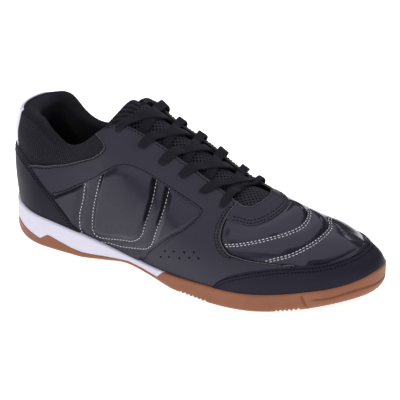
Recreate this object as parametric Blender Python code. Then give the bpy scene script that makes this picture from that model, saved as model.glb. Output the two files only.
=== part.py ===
# Indoor court shoe for the right foot, size EU 42, standing empty on its sole.
# Toe at +X, inner side of the foot at +Y, floor at Z = 0. Tables are in millimetres and degrees,
# with x counted from the back of the heel. Meshes are in metres.

import math
from functools import lru_cache

import bmesh
import bpy
import numpy as np
from mathutils import Vector

MM = 0.001
MERGE = 0.00001
SHARP_ANGLE = math.radians(35)
OUTER, INNER = -1, 1


def table(columns, *rows):
    """Named columns of numbers, one row for each section."""
    return {name: np.array(values, float) for name, values in zip(columns.split(), zip(*rows))}


# Driving sizes
LENGTH = 292.0
MIDDLE_X, MIDDLE_Y = 145.6, -0.2      # middle of the whole shoe, which stands on the frame's origin
GAP = 0.3              # clearance between pieces that meet
WALL = 2.2             # leather, padding and lining of the upper
SEAT_INSET = 3.4       # foot of the upper inside the sole's outline
RIM_GAP = 0.6          # the upper's wall bulges between its foot and the rim

# Plan of the sole's rim: half widths on the two sides, before the ends are rounded
OUTLINE = table(
    "x outer inner",
    (0, 33, 30), (40, 37, 35), (80, 38, 32.5), (120, 41, 31), (160, 47, 38),
    (190, 50.5, 46), (215, 50, 50), (240, 45, 50.5), (265, 38.5, 47.5), (292, 31, 43),
)
HEEL_ROUND = 38.0      # the heel is a half ellipse up to here
TOE_ROUND = 215.0      # the toe is rounded from here
TOE_POWER = 2.2        # 2 would be an ellipse

# Heights of the sole: underside, top of the rim, bed inside the rim
HEIGHTS = table(
    "x bottom rim bed",
    (0, 3.0, 26.0, 20.0), (14, 0.0, 25.4, 20.0), (40, 0.0, 23.8, 19.0), (70, 0.0, 19.8, 16.0),
    (90, 3.5, 17.0, 14.2), (110, 7.0, 14.4, 12.2), (130, 4.4, 12.2, 9.8), (152, 0.0, 11.8, 8.6),
    (180, 0.0, 13.8, 9.0), (200, 1.0, 14.8, 9.6), (225, 3.6, 17.8, 11.6), (250, 6.6, 21.6, 15.0),
    (275, 10.4, 26.0, 19.6), (292, 13.5, 30.0, 24.0),
)
EDGE_INSET, EDGE_RISE = 3.0, 3.0      # rounding of the sole's lower edge
LOW_INSET = 0.6
LIP_INSET, LIP_DROP = 0.7, 2.2        # rounding of the rim's outer edge

# White midsole over the gum outsole: the line where they meet, then the slanted front end
JOIN = table(
    "x z",
    (-9, 10.6), (14, 10.2), (28, 8.0), (36, 6.4), (39, 8.7), (43, 11.4), (47.5, 10.5), (54, 8.6),
    (62.5, 6.4), (72, 5.1), (81, 5.9), (95, 8.1), (113, 10.2), (124, 8.8), (138.5, 6.1), (160, 29.0),
)
FLEX_GROOVES = (24, 46, 160, 180, 198, 216, 234)
GROOVE_WIDTH, GROOVE_DEPTH = 2.4, 1.6
TOOL_WIDTH, TOOL_TOP = 180.0, 60.0    # cutting blocks reach well past the sole
INSOLE_INSET, INSOLE_THICK = 6.0, 4.0

# Top edge of the upper at collar and throat: x of the wall line's foot, its x at the edge,
# half width there, heights on the two sides and the slope at which the wall arrives
TOPLINE = table(
    "x top_x half z_outer z_inner slope",
    (0, 6.8, 25.0, 98.0, 98.0, 70), (12, 14.6, 25.0, 97.8, 98.6, 72), (28, 29.0, 24.5, 94.5, 98.0, 80),
    (40, 40.0, 24.5, 86.0, 87.0, 82), (54, 53.0, 25.0, 82.0, 80.8, 78), (66, 65.0, 25.5, 86.0, 82.4, 74),
    (80, 78.0, 25.5, 96.5, 93.0, 68), (94, 90.0, 25.0, 106.0, 104.0, 62),
    (104, 99.0, 22.5, 108.5, 108.0, 58), (120, 116.0, 17.5, 101.5, 101.5, 50),
    (150, 147.0, 16.5, 87.5, 88.0, 42), (180, 178.0, 16.0, 72.0, 72.5, 34),
    (192, 190.5, 15.5, 66.5, 67.0, 28),
)
THROAT_ROUND, THROAT_END = 186.0, 204.0

# Ridge of the last over instep and vamp, with the sideways place of its line
RIDGE = table(
    "x z y",
    (140, 99.0, 0), (155, 91.0, 0), (170, 82.6, 0), (186, 75.0, 0), (195, 72.4, 0), (203, 70.4, 0),
    (215, 68.2, 0.6), (230, 64.2, 2), (245, 58.5, 4), (258, 52.5, 6),
)
CLOSED_FROM = 150.0    # from here to the throat's rounding the wall turns into the closed section
FAN_START, POLE, FAN_POWER = 222.0, 256.0, 0.9   # wall lines of the toe meet round the pole

# Swell of the wall: outward angle at its foot, share of the height kept upright below and above,
# fuller on the outer side of the toes
SWELL = table(
    "x flare low_outer high_outer low_inner high_inner",
    (0, 8, 0.36, 0.34, 0.36, 0.34), (40, 8, 0.36, 0.34, 0.36, 0.34), (80, 6, 0.36, 0.36, 0.36, 0.36),
    (120, 8, 0.42, 0.42, 0.42, 0.42), (160, 12, 0.50, 0.50, 0.49, 0.48), (200, 14, 0.55, 0.60, 0.43, 0.40),
    (220, 14, 0.565, 0.61, 0.34, 0.28), (240, 14, 0.58, 0.62, 0.33, 0.29), (256, 13.5, 0.585, 0.62, 0.44, 0.42),
    (270, 13, 0.59, 0.62, 0.46, 0.45), (283, 12.4, 0.596, 0.62, 0.45, 0.44), (292, 12, 0.60, 0.62, 0.60, 0.62),
)
COLLAR_PAD = table("x thick", (0, 7.0), (40, 6.5), (70, 5.0), (90, 3.4), (104, WALL))
PAD_FROM, PAD_FULL = 0.62, 0.90       # shares of the wall's height between which the padding grows

# Overlays that stand proud: the height of their top edge as a share of the wall
GUARD_EDGE = table(
    "x share",
    (187, 0.100), (189.4, 0.123), (198.5, 0.213), (210, 0.240), (225, 0.288), (239, 0.325),
    (252, 0.373), (265, 0.463), (280, 0.604), (292, 0.690),
)
COUNTER_EDGE = table(
    "x share",
    (0, 0.602), (10.5, 0.606), (26, 0.532), (37, 0.461), (46.6, 0.381), (58.7, 0.215), (65, 0.120),
)
OVERLAY_GAP, OVERLAY_THICK, OVERLAY_ROWS = 0.4, 1.2, 5
OVERLAY_FOOT = 0.6                    # its lower edge above the rim

# Tongue: room under the eyestay and rise of its crown over the throat
TONGUE = table(
    "x under rise",
    (104, 3.3, 9.0), (120, 3.1, 7.5), (150, 2.7, 5.5), (186, 2.7, 5.4), (204, 0.9, 5.4), (216, 0.8, 5.4),
)
TONGUE_TOP, TONGUE_REACH = 104.0, 14.0   # it stands free from here, by this much at its middle
TONGUE_STATIONS, TONGUE_SIDES = 13, 16
TONGUE_THICK = 4.0
TONGUE_SIDE, TONGUE_TIP = 1.8, 1.3    # half width along the throat and at the tip, 1 at the throat's edge
TONGUE_CLIMB = 27.0                   # slope of the part that stands free above the throat
TONGUE_DROP = 0.4                     # share of that reach lost at its sides
CROWN = Vector((0.4, 0.0, 0.92))      # way that the crown rises
UNDER_SHARE = 0.2                     # share of the wall for each unit past the throat's edge

# Flat lace
LACE_WIDTH, LACE_THICK = 6.4, 1.4
LACE_LIFT = 0.8                       # clearance under the lace
EYELET_X, EYELET_PITCH, EYELET_ROWS = 100.8, 16.1, 6
EYELET_SIDE = 1.6                     # place of the holes, where 1 is the edge of the throat
TUCK_SIDE = 1.22                      # end of a strap under the far edge of the throat
STRAP_REACH = 0.72                    # rows that a strap climbs on its way across
THROAT_HALF = 16.5
OVER_FROM = 0.55                      # place where a strap starts to climb over the throat's edge
CROSS_LAP = 0.15                      # straps of one crossing share this much where they touch
LACE_STEPS = 15

# Wall lines on each side: from x, to x, number of steps
LINES = ((0, THROAT_ROUND, 25), (THROAT_ROUND, THROAT_END, 5), (THROAT_END, LENGTH, 15))
WALL_ROWS = 12


def smooth(columns, name, x):
    """Smooth curve through one column of a table."""
    xs, ys = columns["x"], columns[name]
    slopes = np.gradient(ys, xs)
    x = min(max(x, xs[0]), xs[-1])
    i = min(max(int(np.searchsorted(xs, x, side="right")) - 1, 0), len(xs) - 2)
    step = xs[i + 1] - xs[i]
    t = (x - xs[i]) / step
    start = (2 * t**3 - 3 * t**2 + 1) * ys[i] + (t**3 - 2 * t**2 + t) * step * slopes[i]
    end = (3 * t**2 - 2 * t**3) * ys[i + 1] + (t**3 - t**2) * step * slopes[i + 1]
    return float(start + end)


def ease(t):
    t = min(max(t, 0.0), 1.0)
    return t * t * (3 - 2 * t)


def turn_at(x):
    """Angle of a wall line, 0 at the heel and pi at the toe, from the x of its foot."""
    return math.acos(1 - 2 * x / LENGTH)


def foot_x(turn):
    return LENGTH / 2 * (1 - math.cos(turn))


def outline_point(turn, side):
    x = foot_x(turn)
    outer, inner = smooth(OUTLINE, "outer", x), smooth(OUTLINE, "inner", x)
    full = 1.0
    if x < HEEL_ROUND:
        full = math.sqrt(max(0.0, 1 - (1 - x / HEEL_ROUND) ** 2))
    elif x > TOE_ROUND:
        share = (x - TOE_ROUND) / (LENGTH - TOE_ROUND)
        full = max(0.0, 1 - share**TOE_POWER) ** (1 / TOE_POWER)
    return Vector((x, (inner - outer) / 2 + side * (inner + outer) / 2 * full))


def round_end(turn, side):
    """The same place on the closed loop of wall lines, when the angle runs past heel or toe."""
    if turn < 0:
        return -turn, -side
    if turn > math.pi:
        return 2 * math.pi - turn, -side
    return turn, side


def rim_point(turn, side, inset):
    """Point in plan on the outline, moved inwards along its normal."""
    small = 0.001
    ahead = outline_point(*round_end(turn + small, side))
    behind = outline_point(*round_end(turn - small, side))
    along = (ahead - behind).normalized()
    return outline_point(turn, side) + Vector((along.y, -along.x)) * side * inset


def ridge_point(turn):
    """Upper end of a closed wall line, on the ridge of the last; the toe's lines fan round the pole."""
    x = foot_x(turn)
    if x > FAN_START:
        share = (x - FAN_START) / (LENGTH - FAN_START)
        x = FAN_START + (POLE - FAN_START) * math.sin(math.pi / 2 * share**FAN_POWER)
    return Vector((x, smooth(RIDGE, "y", x), smooth(RIDGE, "z", x)))


def edge_half(x):
    """Half width between the edges of collar or throat."""
    half = smooth(TOPLINE, "half", x)
    if x < HEEL_ROUND:
        half *= math.sqrt(max(0.0, 1 - (1 - x / HEEL_ROUND) ** 2))
    if x > THROAT_ROUND:
        half *= math.sqrt(max(0.0, 1 - ((x - THROAT_ROUND) / (THROAT_END - THROAT_ROUND)) ** 2))
    return half


def edge_point(turn, side):
    """Upper end of an open wall line, on the edge of collar or throat."""
    x = foot_x(turn)
    height = smooth(TOPLINE, "z_outer" if side == OUTER else "z_inner", x)
    return Vector((smooth(TOPLINE, "top_x", x), side * edge_half(x), height))


@lru_cache(maxsize=None)
def wall_line(turn, side, closed):
    """Four control points of the curve that rises from the sole to the ridge or to the open edge."""
    x = foot_x(turn)
    plan = rim_point(turn, side, SEAT_INSET)
    foot = Vector((plan.x, plan.y, smooth(HEIGHTS, "bed", x) + GAP))
    top = ridge_point(turn) if closed else edge_point(turn, side)
    across = Vector((top.x - foot.x, top.y - foot.y, 0.0))
    reach, height = across.length, top.z - foot.z
    inwards = across.normalized()
    flare = math.radians(smooth(SWELL, "flare", x))
    leave = Vector((0, 0, math.cos(flare))) - inwards * math.sin(flare)
    slope = math.radians(smooth(TOPLINE, "slope", x))
    if closed:
        fall = smooth(RIDGE, "z", top.x + 0.5) - smooth(RIDGE, "z", top.x - 0.5)
        slope = math.atan(fall * inwards.x)
    arrive = Vector((0, 0, math.sin(slope))) + inwards * math.cos(slope)
    name = "outer" if side == OUTER else "inner"
    low = smooth(SWELL, "low_" + name, x) * height
    high = smooth(SWELL, "high_" + name, x) * (reach * math.cos(slope) + height * math.sin(slope))
    return foot, foot + leave * low, top - arrive * high, top


def on_curve(controls, share):
    a, b, c, d = controls
    rest = 1 - share
    return a * rest**3 + b * (3 * rest**2 * share) + c * (3 * rest * share**2) + d * share**3


def closed_point(turn, side, share):
    """Point on the last as it closes over the instep and the vamp."""
    turn, side = round_end(turn, side)
    return on_curve(wall_line(turn, side, True), share)


@lru_cache(maxsize=None)
def closed_share(turn, side, half):
    """Share of a closed wall line that lies outside a half width."""
    low, high = 0.0, 1.0
    for _ in range(24):
        middle = (low + high) / 2
        if abs(closed_point(turn, side, middle).y) > half:
            low = middle
        else:
            high = middle
    return low


def wall_point(turn, side, share):
    """Point on the last at a share of the way from the sole to the upper's top edge."""
    turn, side = round_end(turn, side)
    x = foot_x(turn)
    turning = ease((x - CLOSED_FROM) / (THROAT_ROUND - CLOSED_FROM))
    if turning == 0.0:
        return on_curve(wall_line(turn, side, False), share)
    below = closed_share(turn, side, edge_half(x)) if x < THROAT_END - 0.01 else 1.0
    closed = closed_point(turn, side, share * below)
    if turning == 1.0:
        return closed
    return on_curve(wall_line(turn, side, False), share).lerp(closed, turning)


def off_surface(surface, turn, side, share, offset):
    """Point on a surface of the last, moved outwards along the normal."""
    small, step = 0.004, 0.01
    middle = min(max(share, step), 0.98)
    along = surface(turn + small, side, middle) - surface(turn - small, side, middle)
    up = surface(turn, side, middle + step) - surface(turn, side, middle - step)
    return surface(turn, side, share) + along.cross(up).normalized() * (-side * offset)


def off_wall(turn, side, share, offset):
    return off_surface(wall_point, turn, side, share, offset)


def share_at_height(turn, side, z):
    """Share of the wall line's height at which it reaches z."""
    low, high = 0.0, 1.0
    for _ in range(24):
        middle = (low + high) / 2
        if wall_point(turn, side, middle).z < z:
            low = middle
        else:
            high = middle
    return low


def half_turns(start=0.0, end=LENGTH):
    """Angles of the wall lines on one side between two x, both ends included."""
    turns = [turn_at(start)]
    for first, last, steps in LINES:
        a, b = turn_at(first), turn_at(last)
        turns += [a + (b - a) * i / steps for i in range(1, steps + 1)]
    inside = [t for t in turns if turn_at(start) + 0.004 < t < turn_at(end) - 0.004]
    return [turn_at(start)] + inside + [turn_at(end)]


TURNS = half_turns()


def material(name, colour, roughness):
    made = bpy.data.materials.new(name)
    made.use_nodes = True
    shader = made.node_tree.nodes["Principled BSDF"]
    shader.inputs["Base Color"].default_value = (*colour, 1.0)
    shader.inputs["Roughness"].default_value = roughness
    return made


def in_frame(point):
    """Metres in the shoe's frame from millimetres counted from the heel."""
    return Vector((point[0] - MIDDLE_X, point[1] - MIDDLE_Y, point[2])) * MM


def mesh_object(name, shape, finish):
    """Named object from a finished shape."""
    mesh = bpy.data.meshes.new(name)
    shape.to_mesh(mesh)
    shape.free()
    mesh.materials.append(finish)
    mesh.shade_smooth()
    mesh.set_sharp_from_angle(angle=SHARP_ANGLE)
    made = bpy.data.objects.new(name, mesh)
    bpy.context.scene.collection.objects.link(made)
    return made


def solid_object(name, shape, finish):
    """Closed solid with its faces turned outwards."""
    bmesh.ops.recalc_face_normals(shape, faces=shape.faces)
    return mesh_object(name, shape, finish)


def placed_grid(columns, rows, place):
    """Grid of quads with each corner put in place by its column and row, then welded."""
    shape = bmesh.new()
    bmesh.ops.create_grid(shape, x_segments=columns, y_segments=rows, size=1.0)
    for vert in shape.verts:
        column = round((vert.co.x + 1) / 2 * columns)
        row = round((vert.co.y + 1) / 2 * rows)
        vert.co = in_frame(place(column, row))
    bmesh.ops.remove_doubles(shape, verts=shape.verts, dist=MERGE)
    return shape


def face_outwards(shape):
    """Turns an open shell so that its faces look away from the foot."""
    bmesh.ops.recalc_face_normals(shape, faces=shape.faces)
    centre = sum((v.co for v in shape.verts), Vector()) / len(shape.verts)
    looks = sum(f.normal.dot(f.calc_center_median() - centre) * f.calc_area() for f in shape.faces)
    if looks < 0:
        bmesh.ops.reverse_faces(shape, faces=shape.faces)


def thicken(piece, thick, offset):
    """Wall thickness; offset -1 grows inwards and 1 outwards."""
    wall = piece.modifiers.new("thickness", "SOLIDIFY")
    wall.thickness = thick * MM
    wall.offset = offset
    wall.use_even_offset = True
    return wall


def cut(piece, tool, operation):
    tool.hide_render = True
    tool.display_type = "WIRE"
    change = piece.modifiers.new(operation.lower(), "BOOLEAN")
    change.operation = operation
    change.solver = "EXACT"
    change.object = tool


def shell_object(name, columns, rows, place, finish):
    """Open shell facing away from the foot, ready for its thickness."""
    shape = placed_grid(columns, rows, place)
    face_outwards(shape)
    return mesh_object(name, shape, finish)


def underside(x):
    """Height of the underside, flat on the floor at heel and forefoot."""
    return max(0.0, smooth(HEIGHTS, "bottom", x))


def sole_section(turn, side):
    """One side of the cup sole's section, from the underside up over the rim and down to the bed."""
    x = foot_x(turn)
    bottom, rim, bed = underside(x), smooth(HEIGHTS, "rim", x), smooth(HEIGHTS, "bed", x)
    at_rim = off_wall(turn, side, share_at_height(turn, side, rim), RIM_GAP)
    insets = (
        (EDGE_INSET, bottom), (LOW_INSET, bottom + EDGE_RISE), (0.0, rim - LIP_DROP), (LIP_INSET, rim),
    )
    points = [(*rim_point(turn, side, inset), z) for inset, z in insets]
    points.append((at_rim.x, at_rim.y, rim))
    points.append((*rim_point(turn, side, SEAT_INSET - GAP), bed))
    return points


def ring_solid(name, sections, finish):
    """Closed solid through sections that are loops of points, pointed at heel and toe."""
    size = len(sections[0])
    shape = placed_grid(len(sections) - 1, size, lambda column, row: sections[column][row % size])
    return solid_object(name, shape, finish)


def cup_sole(name, finish):
    sections = [sole_section(t, OUTER) + sole_section(t, INNER)[::-1] for t in TURNS]
    return ring_solid(name, sections, finish)


def wedge_tool(name, rise, finish):
    """Block over the line where midsole and outsole meet, lifted by rise and moved back from the slant."""
    low = [(x, z + rise) for x, z in zip(JOIN["x"], JOIN["z"])]
    low[-2:] = [(x - rise, z + rise) for x, z in zip(JOIN["x"][-2:], JOIN["z"][-2:])]
    profile = low + [(low[-1][0], TOOL_TOP), (low[0][0], TOOL_TOP)]
    shape = bmesh.new()
    corners = [shape.verts.new(in_frame((x, -TOOL_WIDTH / 2, z))) for x, z in profile]
    face = shape.faces.new(corners)
    side = bmesh.ops.extrude_face_region(shape, geom=[face])
    moved = [item for item in side["geom"] if isinstance(item, bmesh.types.BMVert)]
    bmesh.ops.translate(shape, verts=moved, vec=(0.0, TOOL_WIDTH * MM, 0.0))
    return solid_object(name, shape, finish)


def groove_tool(finish):
    """Slots across the underside where the sole flexes."""
    shape = bmesh.new()
    for x in FLEX_GROOVES:
        depth = underside(x) + GROOVE_DEPTH
        block = bmesh.ops.create_cube(shape, size=1.0)["verts"]
        bmesh.ops.scale(shape, verts=block, vec=(GROOVE_WIDTH * MM, TOOL_WIDTH * MM, TOOL_TOP * MM))
        bmesh.ops.translate(shape, verts=block, vec=in_frame((x, 0.0, depth - TOOL_TOP / 2)))
    return solid_object("groove_tool", shape, finish)


def build_sole(gum, white):
    outsole = cup_sole("outsole", gum)
    cut(outsole, wedge_tool("outsole_tool", 0.0, gum), "DIFFERENCE")
    cut(outsole, groove_tool(gum), "DIFFERENCE")
    midsole = cup_sole("midsole", white)
    cut(midsole, wedge_tool("midsole_tool", GAP, white), "INTERSECT")


def build_insole(finish):
    sections = []
    for turn in TURNS:
        low = smooth(HEIGHTS, "bed", foot_x(turn)) + GAP
        edges = [rim_point(turn, side, INSOLE_INSET) for side in (OUTER, INNER)]
        sections.append(
            [(*edge, low) for edge in edges] + [(*edge, low + INSOLE_THICK) for edge in edges[::-1]]
        )
    ring_solid("insole", sections, finish)


def wall_thickness(turn, share):
    pad = smooth(COLLAR_PAD, "thick", foot_x(turn))
    return WALL + (pad - WALL) * ease((share - PAD_FROM) / (PAD_FULL - PAD_FROM))


def build_upper(finish):
    """One hollow wall round the last, open at collar, throat and underneath."""
    loop = [(t, OUTER) for t in TURNS] + [(t, INNER) for t in TURNS[-2::-1]]
    upper = shell_object(
        "upper", len(loop) - 1, WALL_ROWS, lambda i, j: wall_point(*loop[i], j / WALL_ROWS), finish
    )
    thickest = float(COLLAR_PAD["thick"].max())
    group = upper.vertex_groups.new(name="thickness")
    places = {}
    for turn, side in loop:
        for row in range(WALL_ROWS + 1):
            point = in_frame(wall_point(turn, side, row / WALL_ROWS))
            places[tuple(round(c / MM, 1) for c in point)] = wall_thickness(turn, row / WALL_ROWS)
    for vert in upper.data.vertices:
        thick = places[tuple(round(c / MM, 1) for c in vert.co)]
        group.add([vert.index], thick / thickest, "REPLACE")
    wall = thicken(upper, thickest, -1)
    wall.vertex_group = group.name


def build_overlay(name, edge, columns, finish):
    """Piece that stands proud of the upper, from just above the rim to its own top edge."""
    def place(column, row):
        turn, side = columns[column]
        x = foot_x(turn)
        low = share_at_height(turn, side, smooth(HEIGHTS, "rim", x) + OVERLAY_FOOT)
        high = smooth(edge, "share", x)
        return off_wall(turn, side, low + (high - low) * row / OVERLAY_ROWS, OVERLAY_GAP)

    piece = shell_object(name, len(columns) - 1, OVERLAY_ROWS, place, finish)
    thicken(piece, OVERLAY_THICK, 1)


def build_overlays(finish):
    front = half_turns(start=float(GUARD_EDGE["x"][0]))
    toe = [(t, OUTER) for t in front] + [(t, INNER) for t in front[-2::-1]]
    build_overlay("toe_guard", GUARD_EDGE, toe, finish)
    rear = half_turns(end=float(COUNTER_EDGE["x"][-1]))
    heel = [(t, INNER) for t in rear[::-1]] + [(t, OUTER) for t in rear[1:]]
    build_overlay("heel_counter", COUNTER_EDGE, heel, finish)


def throat_arch(x, across, offset):
    """Arch from edge to edge of the throat; across is -1 and 1 at the edges."""
    edges = [off_wall(turn_at(x), side, 1.0, offset) for side in (OUTER, INNER)]
    return edges[0].lerp(edges[1], (across + 1) / 2) + CROWN * smooth(TONGUE, "rise", x) * (1 - across**2)


def tongue_point(x, across, offset=0.0):
    """Outer face of the tongue, under the eyestay where across is past -1 or 1."""
    reach = max(TONGUE_TOP - x, 0.0) * (1 - TONGUE_DROP * (across / TONGUE_SIDE) ** 2)
    x = max(x, TONGUE_TOP)
    turn, side = turn_at(x), OUTER if across < 0 else INNER
    deep = offset - WALL - smooth(TONGUE, "under", x)
    if x > THROAT_ROUND:
        share = closed_share(turn, side, abs(across) * smooth(TOPLINE, "half", x))
        return off_surface(closed_point, turn, side, share, deep)
    if abs(across) > 1:
        point = off_wall(turn, side, 1 - (abs(across) - 1) * UNDER_SHARE, deep)
    else:
        point = throat_arch(x, across, deep)
    climb = math.radians(TONGUE_CLIMB)
    return point + Vector((-math.cos(climb), 0, math.sin(climb))) * reach


def build_tongue(finish):
    tip, end = TONGUE_TOP - TONGUE_REACH, float(TONGUE["x"][-1])
    free = [(tip + TONGUE_REACH * i / 3, TONGUE_TIP + (TONGUE_SIDE - TONGUE_TIP) * i / 3) for i in range(3)]
    step = (end - TONGUE_TOP) / TONGUE_STATIONS
    stations = free + [(TONGUE_TOP + step * i, TONGUE_SIDE) for i in range(TONGUE_STATIONS + 1)]

    def place(i, j):
        x, side = stations[i]
        return tongue_point(x, side * (2 * j / TONGUE_SIDES - 1))

    tongue = shell_object("tongue", len(stations) - 1, TONGUE_SIDES, place, finish)
    thicken(tongue, TONGUE_THICK, -1)


def lace_point(row, across, ends, bump):
    """Middle of the lace over the tongue and eyestay; ends tells for each side if it lies over the edge."""
    x = EYELET_X + EYELET_PITCH * (row - 1)
    over = ends[0] if across < 0 else ends[1]
    lift = LACE_LIFT + LACE_THICK / 2
    if abs(across) > 1 and over:
        side = OUTER if across < 0 else INNER
        return off_wall(turn_at(x), side, 1 - (abs(across) - 1) * UNDER_SHARE, lift)
    lying = tongue_point(x, across, lift + bump * ease((0.98 - abs(across)) / 0.3))
    if over:
        return lying.lerp(throat_arch(x, across, lift), ease((abs(across) - OVER_FROM) / (1 - OVER_FROM)))
    return lying


def strap(name, start, end, ends, bump, finish):
    """Flat strap between two places given as row and side."""
    climb = (end[0] - start[0]) * EYELET_PITCH
    span = (end[1] - start[1]) * THROAT_HALF
    long = math.hypot(climb, span)

    def place(i, j):
        share = i / LACE_STEPS
        out = (j / 2 - 0.5) * LACE_WIDTH
        row = start[0] + (end[0] - start[0]) * share + out * span / long / EYELET_PITCH
        across = start[1] + (end[1] - start[1]) * share - out * climb / long / THROAT_HALF
        return lace_point(row, across, ends, bump)

    piece = shell_object(name, LACE_STEPS, 2, place, finish)
    thicken(piece, LACE_THICK, 0)
    return piece


def build_laces(finish):
    bar_row = EYELET_ROWS + 0.05
    strap("lace_bar", (bar_row, -EYELET_SIDE), (bar_row, EYELET_SIDE), (True, True), 0.0, finish)
    for row in range(1, EYELET_ROWS):
        tuck = row + STRAP_REACH
        lower = strap(
            f"lace_cross_{row}", (row, -EYELET_SIDE), (tuck, TUCK_SIDE), (True, False), 0.0, finish
        )
        upper = strap(
            f"lace_over_{row}", (row, EYELET_SIDE), (tuck, -TUCK_SIDE), (False, True),
            LACE_THICK - CROSS_LAP, finish,
        )
        cut(lower, upper, "UNION")


def build():
    for old in list(bpy.data.objects):
        bpy.data.objects.remove(old, do_unlink=True)
    gum = material("gum_rubber", (0.43, 0.19, 0.09), 0.55)
    white = material("white_foam", (0.72, 0.70, 0.76), 0.6)
    liner = material("liner_fabric", (0.02, 0.02, 0.022), 0.9)
    leather = material("black_leather", (0.035, 0.033, 0.042), 0.45)
    guard = material("guard_leather", (0.03, 0.029, 0.036), 0.6)
    mesh = material("black_mesh", (0.015, 0.015, 0.017), 0.9)
    lace = material("woven_lace", (0.014, 0.014, 0.016), 0.8)
    build_sole(gum, white)
    build_insole(liner)
    build_upper(leather)
    build_overlays(guard)
    build_tongue(mesh)
    build_laces(lace)


build()
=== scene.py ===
# Looks of an indoor court shoe for the right foot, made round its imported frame.
# Toe at +X, inner side of the foot at +Y. Sizes are in millimetres, with x counted from the back
# of the heel; a place on the upper is the x of a wall line's foot and a share of that line's height.

import math
from bisect import bisect_right
from functools import lru_cache

import bmesh
import bpy
import numpy as np
from mathutils import Matrix, Vector
from mathutils.bvhtree import BVHTree
from mathutils.interpolate import poly_3d_calc


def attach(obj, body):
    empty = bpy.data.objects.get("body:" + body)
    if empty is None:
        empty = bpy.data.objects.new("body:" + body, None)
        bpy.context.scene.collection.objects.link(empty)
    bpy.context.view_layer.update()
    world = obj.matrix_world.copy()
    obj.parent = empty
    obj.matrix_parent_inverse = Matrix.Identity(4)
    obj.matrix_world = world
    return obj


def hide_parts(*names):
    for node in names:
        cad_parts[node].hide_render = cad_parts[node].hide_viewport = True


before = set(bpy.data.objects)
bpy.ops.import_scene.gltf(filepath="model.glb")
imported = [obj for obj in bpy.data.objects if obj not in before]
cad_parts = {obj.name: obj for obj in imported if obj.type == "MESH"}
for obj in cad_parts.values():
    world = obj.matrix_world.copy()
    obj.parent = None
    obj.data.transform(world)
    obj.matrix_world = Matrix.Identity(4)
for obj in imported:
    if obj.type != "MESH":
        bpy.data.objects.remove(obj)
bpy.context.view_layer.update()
mm = 0.001
outer, inner = -1, 1          # sides of the foot
bothSides = {"outer": outer, "inner": inner}
sideNames = {outer: "outer", inner: "inner"}


def table(columns, *rows):
    values = [[float(v) for v in column] for column in zip(*rows)]
    made = {"x": values[0]}
    for name, column in zip(columns.split()[1:], values[1:]):
        made[name] = (column, np.gradient(column, values[0]).tolist())
    return made


def smooth(columns, name, x):
    xs = columns["x"]
    ys, slopes = columns[name]
    x = min(max(x, xs[0]), xs[-1])
    i = min(max(bisect_right(xs, x) - 1, 0), len(xs) - 2)
    step = xs[i + 1] - xs[i]
    t = (x - xs[i]) / step
    start = (2 * t**3 - 3 * t**2 + 1) * ys[i] + (t**3 - 2 * t**2 + t) * step * slopes[i]
    end = (3 * t**2 - 2 * t**3) * ys[i + 1] + (t**3 - t**2) * step * slopes[i + 1]
    return start + end


def straight(columns, name, x):
    return float(np.interp(x, columns["x"], columns[name][0]))


def ease(t):
    t = min(max(t, 0.0), 1.0)
    return t * t * (3 - 2 * t)


def between(low, high, count):
    return [low + (high - low) * i / count for i in range(count + 1)]


def even(count):
    return between(0.0, 1.0, count)


# The last, as in the part's source
last = {
    "length": 292.0, "middleX": 145.6, "middleY": -0.2, "seatInset": 3.4, "gap": 0.3, "wall": 2.2,
    "heelRound": 38.0, "toeRound": 215.0, "toePower": 2.2,
    "throatRound": 186.0, "throatEnd": 204.0, "closedFrom": 150.0,
    "fanStart": 222.0, "pole": 256.0, "fanPower": 0.9,
}
outline = table(
    "x outer inner",
    (0, 33, 30), (40, 37, 35), (80, 38, 32.5), (120, 41, 31), (160, 47, 38),
    (190, 50.5, 46), (215, 50, 50), (240, 45, 50.5), (265, 38.5, 47.5), (292, 31, 43),
)
heights = table(
    "x bottom rim bed",
    (0, 3.0, 26.0, 20.0), (14, 0.0, 25.4, 20.0), (40, 0.0, 23.8, 19.0), (70, 0.0, 19.8, 16.0),
    (90, 3.5, 17.0, 14.2), (110, 7.0, 14.4, 12.2), (130, 4.4, 12.2, 9.8), (152, 0.0, 11.8, 8.6),
    (180, 0.0, 13.8, 9.0), (200, 1.0, 14.8, 9.6), (225, 3.6, 17.8, 11.6), (250, 6.6, 21.6, 15.0),
    (275, 10.4, 26.2, 19.6), (292, 13.5, 32.5, 24.0),
)
topline = table(
    "x topX half outer inner slope",
    (0, 6.8, 25.0, 98.0, 98.0, 70), (12, 14.6, 25.0, 97.8, 98.6, 72), (28, 29.0, 24.5, 94.5, 98.0, 80),
    (40, 40.0, 24.5, 86.0, 87.0, 82), (54, 53.0, 25.0, 82.0, 80.8, 78), (66, 65.0, 25.5, 86.0, 82.4, 74),
    (80, 78.0, 25.5, 96.5, 93.0, 68), (94, 90.0, 25.0, 106.0, 104.0, 62),
    (104, 99.0, 22.5, 108.5, 108.0, 58), (120, 116.0, 17.5, 101.5, 101.5, 50),
    (150, 147.0, 16.5, 87.5, 88.0, 42), (180, 178.0, 16.0, 72.0, 72.5, 34),
    (192, 190.5, 15.5, 66.5, 67.0, 28),
)
ridge = table(
    "x z y",
    (140, 99.0, 0), (155, 91.0, 0), (170, 82.6, 0), (186, 75.0, 0), (195, 72.4, 0), (203, 70.4, 0),
    (215, 68.2, 0.6), (230, 64.2, 2), (245, 58.5, 4), (258, 52.5, 6),
)
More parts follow.
